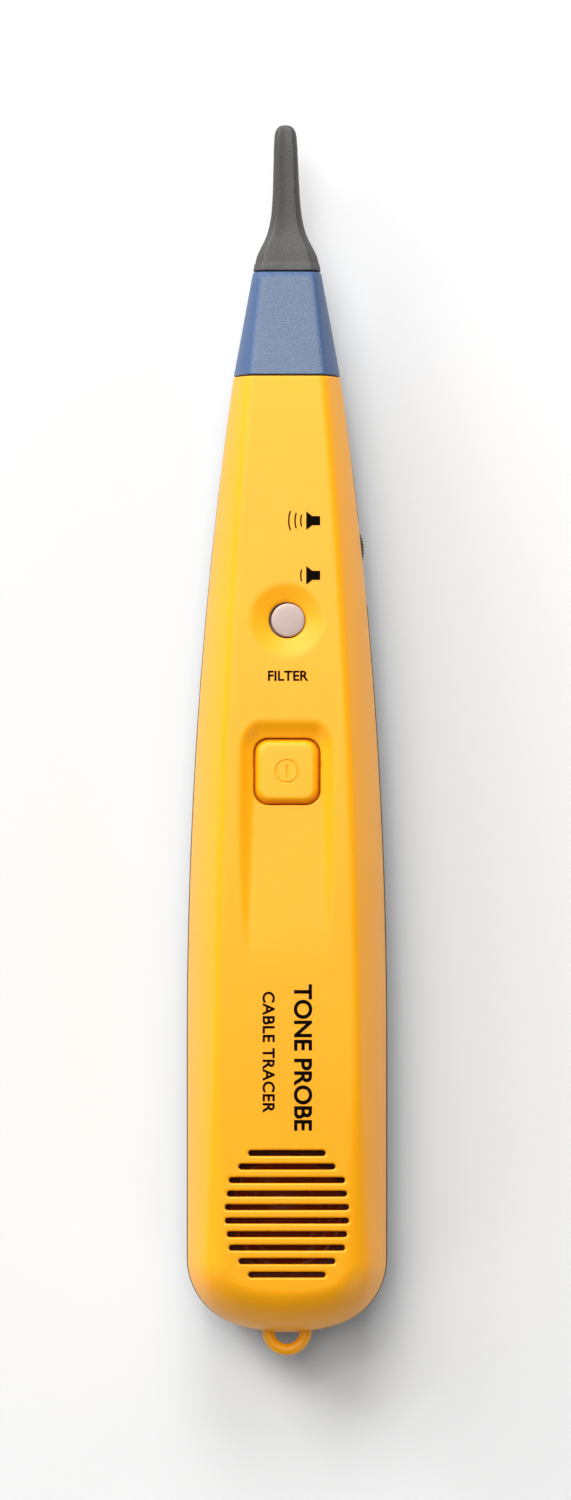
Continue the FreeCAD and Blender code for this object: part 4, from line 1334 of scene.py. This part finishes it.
@dataclass
class ProbeTip:
    """Dark moulded tip: base band, concave flare and flat blade with chamfered rims, on a hollow stem."""

    stem_start: float = 84.0
    stem_end: float = 94.84
    stem_radius: float = 3.0
    stem_lead: float = 0.3
    pin_bore: float = 1.05
    pin_end: float = 93.0
    level: float = 15.0
    lean: float = -0.012
    lean_from: float = 97.0
    rim: float = 0.36
    dish: float = 0.26
    dish_span: float = 1.6
    dish_round: float = 0.9
    flank_share: float = 0.42
    stations: tuple[tuple[float, float, float, float], ...] = (
        (94.85, 6.62, 4.95, 4.2),
        (95.0, 6.8, 5.1, 4.35),
        (96.2, 6.58, 4.95, 4.2),
        (96.35, 6.42, 4.82, 4.08),
        (96.8, 6.36, 4.74, 4.0),
        (97.8, 6.1, 4.55, 3.84),
        (98.8, 5.68, 4.3, 3.62),
        (99.9, 5.1, 3.9, 3.35),
        (101.1, 4.48, 3.35, 3.03),
        (102.5, 3.9, 2.8, 2.68),
        (104.2, 3.45, 2.4, 2.4),
        (106.1, 3.1, 2.12, 2.25),
        (108.3, 2.88, 1.98, 2.16),
        (110.7, 2.72, 1.9, 2.1),
        (113.8, 2.6, 1.84, 2.06),
        (116.8, 2.5, 1.76, 2.02),
        (119.8, 2.4, 1.68, 1.96),
        (122.0, 2.27, 1.55, 1.86),
        (123.0, 2.1, 1.38, 1.74),
        (123.7, 1.8, 1.12, 1.56),
        (124.15, 1.42, 0.8, 1.3),
        (124.4, 1.0, 0.5, 0.95),
        (124.5, 0.55, 0.25, 0.55),
    )

    def ring(self, y: float, w: float, a: float, t: float) -> list[Point]:
        """Eight-sided section of the tip with a dished upper facet.

        Args:
            y: Place along the probe.
            w: Half width.
            a: Half width of the facet.
            t: Half thickness.

        Returns:
            The points of the ring.
        """
        r = min(self.rim, a * 0.5)
        side = t * self.flank_share
        middle = t - self.dish * min(1.0, a / self.dish_span)
        upper = [(w, side, r), (a, t, r), (0.0, middle, a * self.dish_round), (-a, t, r), (-w, side, r)]
        corners = [(x, self.level + rise, soft) for x, rise, soft in upper]
        corners += [(-x, self.level - rise, soft) for x, rise, soft in upper]
        shift = self.lean * max(y - self.lean_from, 0.0)
        return [(px + shift, py, pz) for px, py, pz in rounded_ring(corners, y)]

    def build(self, wardrobe: Wardrobe) -> None:
        """Makes the tip and puts it in place of the CAD one.

        Args:
            wardrobe: Materials.
        """
        first = self.ring(*self.stations[0])
        stem = (
            (self.stem_start, self.stem_radius - self.stem_lead),
            (self.stem_start + self.stem_lead, self.stem_radius),
            (self.stem_end, self.stem_radius),
        )
        rings = [[self.on_stem(point, y, r) for point in first] for y, r in stem]
        rings += [self.ring(*station) for station in self.stations]
        obj = skin_rings("probe_tip_moulding", rings)
        cut_away(obj, lengthwise_rod(self.pin_bore, self.stem_start - 1, self.pin_end, self.level))
        shade(obj, 40)
        mount_piece(obj, Body.TIP, Slot.CONDUCTIVE, wardrobe.get(TIP_GREY))
        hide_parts("probe_tip")

    def on_stem(self, point: Point, y: float, radius: float) -> Point:
        """Point of the round stem in the same direction as a point of the band."""
        a = math.atan2(point[2] - self.level, point[0])
        return (radius * math.cos(a), y, self.level + radius * math.sin(a))


@dataclass
class PowerButton:
    """Square key with soft shoulders, a sunk on-off mark and a hidden flange."""

    half: float = 5.76
    corner: float = 3.0
    centre_y: float = -6.3
    skirt: float = 0.76
    skirt_drop: float = 1.9
    proud: float = 0.95
    flange: float = 1.95
    flange_low: float = 26.6
    flange_high: float = 27.6
    flange_round: float = 1.0
    shoulder: float = 0.8
    mark_radius: float = 2.25
    mark_stroke: float = 0.27
    mark_bar: float = 1.35
    mark_lift: float = 0.06

    def top(self, y: float) -> float:
        """Height of the key's face at y."""
        return FrontCover().recess_floor(y) + self.proud

    def build(self, wardrobe: Wardrobe) -> None:
        """Makes the key and puts it in place of the CAD one.

        Args:
            wardrobe: Materials.
        """
        clear_selection()
        wide = (self.half + self.flange) * 2 * MM
        thick = (self.flange_high - self.flange_low) * MM
        middle = (self.flange_high + self.flange_low) / 2 * MM
        bpy.ops.mesh.primitive_cube_add(size=1, location=(0, self.centre_y * MM, middle))
        obj = bpy.context.object
        obj.scale = (wide, wide, thick)
        settle(obj, "power_button_cap")
        bevel_upright(obj, (self.corner + self.flange_round) * MM, 10)
        bpy.ops.object.mode_set(mode="EDIT")
        bpy.ops.mesh.select_mode(type="FACE")
        pick_faces(obj, lambda centre, normal: normal.z > 0.9)
        bpy.ops.mesh.inset(thickness=(self.flange - self.skirt) * MM)
        for drop, scale in ((self.skirt_drop, 1.0), (0.0, self.half / (self.half + self.skirt))):

            def follow(spot: Vector) -> Point:
                """Corner drawn in by the scale, at its height under the face."""
                y = (spot.y - self.centre_y) * scale + self.centre_y
                return (spot.x * scale, y, self.top(y) - drop)

            extrude_to(obj, (0, 0, 1), follow)
        bpy.ops.mesh.region_to_loop()
        bpy.ops.mesh.bevel(offset=self.shoulder * MM, segments=9, profile=0.5, affect="EDGES")
        bpy.ops.object.mode_set(mode="OBJECT")
        self.sink_mark(obj)
        shade(obj, 38)
        mount_piece(obj, Body.POWER_KEY, Slot.YELLOW, wardrobe.get(YELLOW))
        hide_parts("power_button")

    def sink_mark(self, obj: bpy.types.Object) -> None:
        """Cuts the round groove and the short bar into the face.

        Args:
            obj: The key.
        """
        slope = math.atan(self.top(1) - self.top(0))
        place = Vector((0, self.centre_y, self.top(self.centre_y) + self.mark_lift)) * MM
        clear_selection()
        bpy.ops.mesh.primitive_torus_add(
            location=place,
            rotation=(slope, 0, 0),
            major_segments=72,
            minor_segments=14,
            major_radius=self.mark_radius * MM,
            minor_radius=self.mark_stroke * MM,
        )
        cut_away(obj, settle(bpy.context.object, "ring_tool"))
        clear_selection()
        bpy.ops.mesh.primitive_cylinder_add(
            vertices=16,
            radius=self.mark_stroke * MM,
            depth=2 * self.mark_bar * MM,
            location=place,
            rotation=(math.radians(90) + slope, 0, 0),
        )
        cut_away(obj, settle(bpy.context.object, "bar_tool"))


@dataclass
class FilterButton:
    """Round milky key: stem, hidden flange and a soft-edged cap, a little to the right in its hole."""

    centre_x: float = 0.22
    centre_y: float = 24.0
    stem_radius: float = 1.9
    stem_low: float = 21.3
    flange_radius: float = 4.4
    flange_low: float = 25.3
    flange_high: float = 26.2
    cap_radius: float = 3.36
    cap_round: float = 0.4
    cap_crown: float = 0.12
    sunk: float = 0.6

    def profile(self) -> list[tuple[float, float]]:
        """(radius, height) pairs from the foot of the stem to the middle of the face.

        Returns:
            The pairs in millimetres.
        """
        top = FORM.crown(self.centre_y) - self.sunk
        rows = [
            (self.stem_radius, self.stem_low),
            (self.stem_radius, self.flange_low),
            (self.flange_radius, self.flange_low),
            (self.flange_radius, self.flange_high),
            (self.cap_radius, self.flange_high),
        ]
        rim = top - self.cap_crown
        for i in range(9):
            a = math.radians(90) * i / 8
            in_by, down_by = self.cap_round * (1 - math.cos(a)), self.cap_round * (1 - math.sin(a))
            rows.append((self.cap_radius - in_by, rim - down_by))
        rows += [(self.cap_radius * f, top - self.cap_crown * f * f) for f in (0.75, 0.5, 0.25)]
        return rows

    def build(self, wardrobe: Wardrobe) -> None:
        """Makes the key and puts it in place of the CAD one.

        Args:
            wardrobe: Materials.
        """
        rows = self.profile()
        clear_selection()
        bpy.ops.mesh.primitive_circle_add(
            vertices=72,
            radius=rows[0][0] * MM,
            fill_type="NGON",
            location=(self.centre_x * MM, self.centre_y * MM, rows[0][1] * MM),
        )
        obj = settle(bpy.context.object, "filter_button_cap")
        bpy.ops.object.mode_set(mode="EDIT")
        bpy.ops.mesh.select_all(action="SELECT")
        for (r0, z0), (r1, z1) in zip(rows, rows[1:]):

            def follow(spot: Vector) -> Point:
                """Corner drawn in or out to the next radius."""
                x = self.centre_x + (spot.x - self.centre_x) * r1 / r0
                return (x, self.centre_y + (spot.y - self.centre_y) * r1 / r0, spot.z)

            extrude_to(obj, (0, 0, z1 - z0), follow)
        bpy.ops.object.mode_set(mode="OBJECT")
        turn_outwards(obj)
        shade(obj, 40)
        mount_piece(obj, Body.FILTER_KEY, Slot.MILKY, wardrobe.get(MILKY))
        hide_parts("filter_button")


def bevel_upright(obj: bpy.types.Object, radius: float, steps: int) -> None:
    """Rounds the upright edges of a block.

    Args:
        obj: The block.
        radius: Radius in metres.
        steps: Segments of each corner.
    """
    focus(obj)
    bpy.ops.object.mode_set(mode="EDIT")
    bpy.ops.mesh.select_mode(type="EDGE")
    mesh = bmesh.from_edit_mesh(obj.data)
    for edge in mesh.edges:
        a, b = edge.verts
        edge.select_set(math.hypot(a.co.x - b.co.x, a.co.y - b.co.y) < 1e-6)
    bmesh.update_edit_mesh(obj.data)
    bpy.ops.mesh.bevel(offset=radius, segments=steps, affect="EDGES")
    bpy.ops.mesh.select_mode(type="VERT")
    bpy.ops.object.mode_set(mode="OBJECT")


# ---------------------------------------------------------------- printed symbols


@dataclass
class Legends:
    """Symbols and words printed on the front cover, laid on its crown."""

    lift: float = 0.012
    film: float = 0.025
    lines: tuple[tuple[str, str, float, Plan, float, float, float], ...] = (
        ("filter_label", "FILTER", 2.78, (0.1, 12.75), 0.0, 0.07, 1.0),
        ("title_words", "TONE PROBE", 4.9, (3.0, -63.5), -90.0, 0.12, 1.0),
        ("second_words", "CABLE TRACER", 3.3, (-3.8, -62.3), -90.0, 0.08, 1.08),
    )
    horn: tuple[tuple[float, float, float, float], ...] = (
        (5.25, 0.93, 6.65, 0.93),
        (3.85, 1.9, 5.05, 0.93),
        (5.05, 0.93, 5.25, 0.93),
    )
    wave_radius: float = 3.9
    wave_spread: float = 18.0
    wave_growth: float = 0.9
    wave_stroke: float = 0.3

    def lay(self, obj: bpy.types.Object, name: str, wardrobe: Wardrobe) -> None:
        """Lays a flat shape on the crown and gives it the ink's thickness.

        Args:
            obj: Flat mesh near z = 0, in its final place in plan.
            name: Name of the piece.
            wardrobe: Materials.
        """
        settle(obj, name)
        bpy.ops.object.mode_set(mode="EDIT")
        bpy.ops.mesh.select_all(action="SELECT")
        bpy.ops.mesh.remove_doubles(threshold=1e-6)
        bpy.ops.mesh.dissolve_limited(angle_limit=0.01)
        bpy.ops.mesh.extrude_region_move(TRANSFORM_OT_translate={"value": (0, 0, self.film * MM)})
        bpy.ops.object.mode_set(mode="OBJECT")
        for vertex in obj.data.vertices:
            raised = self.film if vertex.co.z > self.film * MM * 0.5 else 0.0
            vertex.co.z = (FORM.crown(vertex.co.y / MM) + self.lift + raised) * MM
        turn_outwards(obj)
        mount_piece(obj, Body.HOUSING, Slot.BLACK, wardrobe.get(INK))

    def words(
        self, text: str, size: float, place: Plan, turn: float, bold: float, gap: float
    ) -> bpy.types.Object:
        """A line of words as a flat mesh.

        Args:
            text: The words.
            size: Letter size in millimetres.
            place: Middle of the line in plan, in millimetres.
            turn: Turn in degrees.
            bold: How far the strokes are thickened, in millimetres.
            gap: Space between letters, 1 for the typeface's own.

        Returns:
            The flat mesh.
        """
        clear_selection()
        spot = (place[0] * MM, place[1] * MM, 0)
        bpy.ops.object.text_add(location=spot, rotation=(0, 0, math.radians(turn)))
        obj = bpy.context.object
        obj.data.body = text
        obj.data.size = size * MM
        obj.data.align_x = "CENTER"
        obj.data.align_y = "CENTER"
        obj.data.offset = bold * MM
        obj.data.space_character = gap
        focus(obj)
        bpy.ops.object.convert(target="MESH")
        return bpy.context.object

    def bar(
        self, y: float, left: float, left_half: float, right: float, right_half: float
    ) -> bpy.types.Object:
        """Flat four-cornered patch about y, from a plane whose corners are moved.

        Args:
            y: Middle of the patch along the probe.
            left: Place of its left edge.
            left_half: Half the length of that edge.
            right: Place of its right edge.
            right_half: Half the length of that edge.

        Returns:
            The flat mesh.
        """
        clear_selection()
        bpy.ops.mesh.primitive_plane_add(size=MM)
        obj = bpy.context.object
        for vertex in obj.data.vertices:
            x, half = (right, right_half) if vertex.co.x > 0 else (left, left_half)
            vertex.co = Vector((x, y + half if vertex.co.y > 0 else y - half, 0)) * MM
        return obj

    def arc(self, x: float, y: float, radius: float, stroke: float, spread: float) -> bpy.types.Object:
        """Flat curved stroke, a short line spun about a centre to the right of it.

        Args:
            x: Place of its left end across the probe.
            y: Its middle along the probe.
            radius: Its radius.
            stroke: Its width.
            spread: Half its angle, in degrees.

        Returns:
            The flat mesh.
        """
        clear_selection()
        bpy.ops.mesh.primitive_plane_add(size=MM)
        obj = bpy.context.object
        hub = (x + radius, y)
        a = math.radians(180 - spread)
        inner, outer = radius - stroke / 2, radius + stroke / 2
        spots = [(hub[0] + r * math.cos(a), hub[1] + r * math.sin(a)) for r in (inner, outer)]
        focus(obj)
        bpy.ops.object.mode_set(mode="EDIT")
        mesh = bmesh.from_edit_mesh(obj.data)
        bmesh.ops.delete(mesh, geom=[v for v in mesh.verts if v.co.y > 0], context="VERTS")
        for vertex, spot in zip(list(mesh.verts), spots):
            vertex.co = Vector((spot[0] * MM, spot[1] * MM, 0))
        bmesh.update_edit_mesh(obj.data)
        bpy.ops.mesh.select_all(action="SELECT")
        bpy.ops.mesh.spin(
            steps=14, angle=math.radians(-2 * spread), center=(hub[0] * MM, hub[1] * MM, 0), axis=(0, 0, 1)
        )
        bpy.ops.object.mode_set(mode="OBJECT")
        return obj

    def speaker(self, y: float, waves: list[float], name: str, wardrobe: Wardrobe) -> None:
        """Speaker symbol with its sound waves to the left.

        Args:
            y: Middle of the symbol along the probe.
            waves: Distance of each wave from the middle of the probe.
            name: Name of the piece.
            wardrobe: Materials.
        """
        parts = [self.bar(y, *patch) for patch in self.horn]
        for i, x in enumerate(waves):
            more = self.wave_growth * i
            parts.append(self.arc(x, y, self.wave_radius + more, self.wave_stroke, self.wave_spread + more))
        self.lay(join(parts), name, wardrobe)

    def build(self, wardrobe: Wardrobe) -> None:
        """Makes every printed symbol and line of words.

        Args:
            wardrobe: Materials.
        """
        self.speaker(44.0, [2.75, 1.6, 0.35], "loud_symbol", wardrobe)
        self.speaker(33.0, [2.75], "quiet_symbol", wardrobe)
        for name, *line in self.lines:
            self.lay(self.words(*line), name, wardrobe)


# ---------------------------------------------------------------- surroundings


@dataclass
class Studio:
    """Pale table, soft light from the upper left and the camera straight above."""

    eye: Point = (-0.0003, -0.002, 1.35)
    aim_level: float = 0.016
    field_height: float = 0.3036
    sensor: float = 36.0
    table_size: float = 60.0
    table_tone: float = 0.79
    lamp_distance: float = 4.5
    lamp_size: float = 1.8
    world_power: float = 0.004
    lamps: tuple[tuple[str, float, float, float], ...] = (
        ("main_light", 90.0, 35.0, 76.0),
        ("nose_low_light", 90.0, 15.0, 44.0),
        ("nose_high_light", 90.0, 72.0, 33.0),
        ("left_low_light", 135.0, 15.0, 116.0),
        ("left_middle_light", 135.0, 35.0, 45.0),
        ("left_high_light", 120.0, 55.0, 64.0),
        ("left_top_light", 135.0, 72.0, 30.0),
        ("left_heel_light", 210.0, 35.0, 20.0),
        ("right_fill_light", 45.0, 15.0, 42.0),
        ("corner_fill_light", 315.0, 15.0, 32.0),
        ("overhead_light", 0.0, 90.0, 12.4),
    )

    def build(self) -> None:
        """Places table, lights and camera."""
        scene = bpy.context.scene
        scene.view_settings.view_transform = "Standard"
        scene.view_settings.look = "None"
        self.table()
        for name, bearing, rise, power in self.lamps:
            self.light(name, math.radians(bearing), math.radians(rise), power)
        world = bpy.data.worlds.new("studio_world")
        scene.world = world
        world.use_nodes = True
        world.node_tree.nodes["Background"].inputs["Color"].default_value = (1, 1, 1, 1)
        world.node_tree.nodes["Background"].inputs["Strength"].default_value = self.world_power
        camera = bpy.data.cameras.new("camera")
        camera.sensor_width = self.sensor
        camera.lens = self.sensor * (self.eye[2] - self.aim_level) / self.field_height
        camera.clip_start = 0.01
        camera.clip_end = 50
        holder = bpy.data.objects.new("camera", camera)
        holder.location = self.eye
        scene.collection.objects.link(holder)
        scene.camera = holder

    def table(self) -> None:
        """Pale table top."""
        clear_selection()
        bpy.ops.mesh.primitive_plane_add(size=self.table_size, location=(0, 0, 0))
        top = settle(bpy.context.object, "table_top")
        material, bench = new_material("table_paper")
        tone = opaque((self.table_tone,) * 3)
        normal = bench.bump(bench.noise(bench.place(), 900.0, 3.0), 0.15, 0.0001)
        bench.surface({"Base Color": tone, "Normal": normal, "Roughness": 0.9, "Specular IOR Level": 0.2})
        top.data.materials.append(material)

    def light(self, name: str, bearing: float, rise: float, power: float) -> None:
        """Square soft light aimed at the middle of the table.

        Args:
            name: Name of the light.
            bearing: Direction in plan, in radians from +X.
            rise: Height above the table, in radians.
            power: Strength in watts.
        """
        data = bpy.data.lights.new(name, "AREA")
        data.size = self.lamp_size
        data.energy = power
        lamp = bpy.data.objects.new(name, data)
        level = math.cos(rise)
        place = Vector((level * math.cos(bearing), level * math.sin(bearing), math.sin(rise)))
        lamp.location = place * self.lamp_distance
        lamp.rotation_euler = (-place).to_track_quat("-Z", "Y").to_euler()
        lamp.visible_camera = False
        bpy.context.scene.collection.objects.link(lamp)


def main() -> None:
    """Builds the probe's looks and its surroundings."""
    logging.basicConfig(level=logging.INFO, format="%(message)s")
    wardrobe = Wardrobe()
    wardrobe.dress_frame()
    for kind in (
        FrontCover,
        SlotShadeRing,
        LanyardEye,
        NoseCollar,
        ProbeTip,
        PowerButton,
        FilterButton,
        Legends,
    ):
        kind().build(wardrobe)
    Studio().build()


if __name__ == "__main__":
    main()
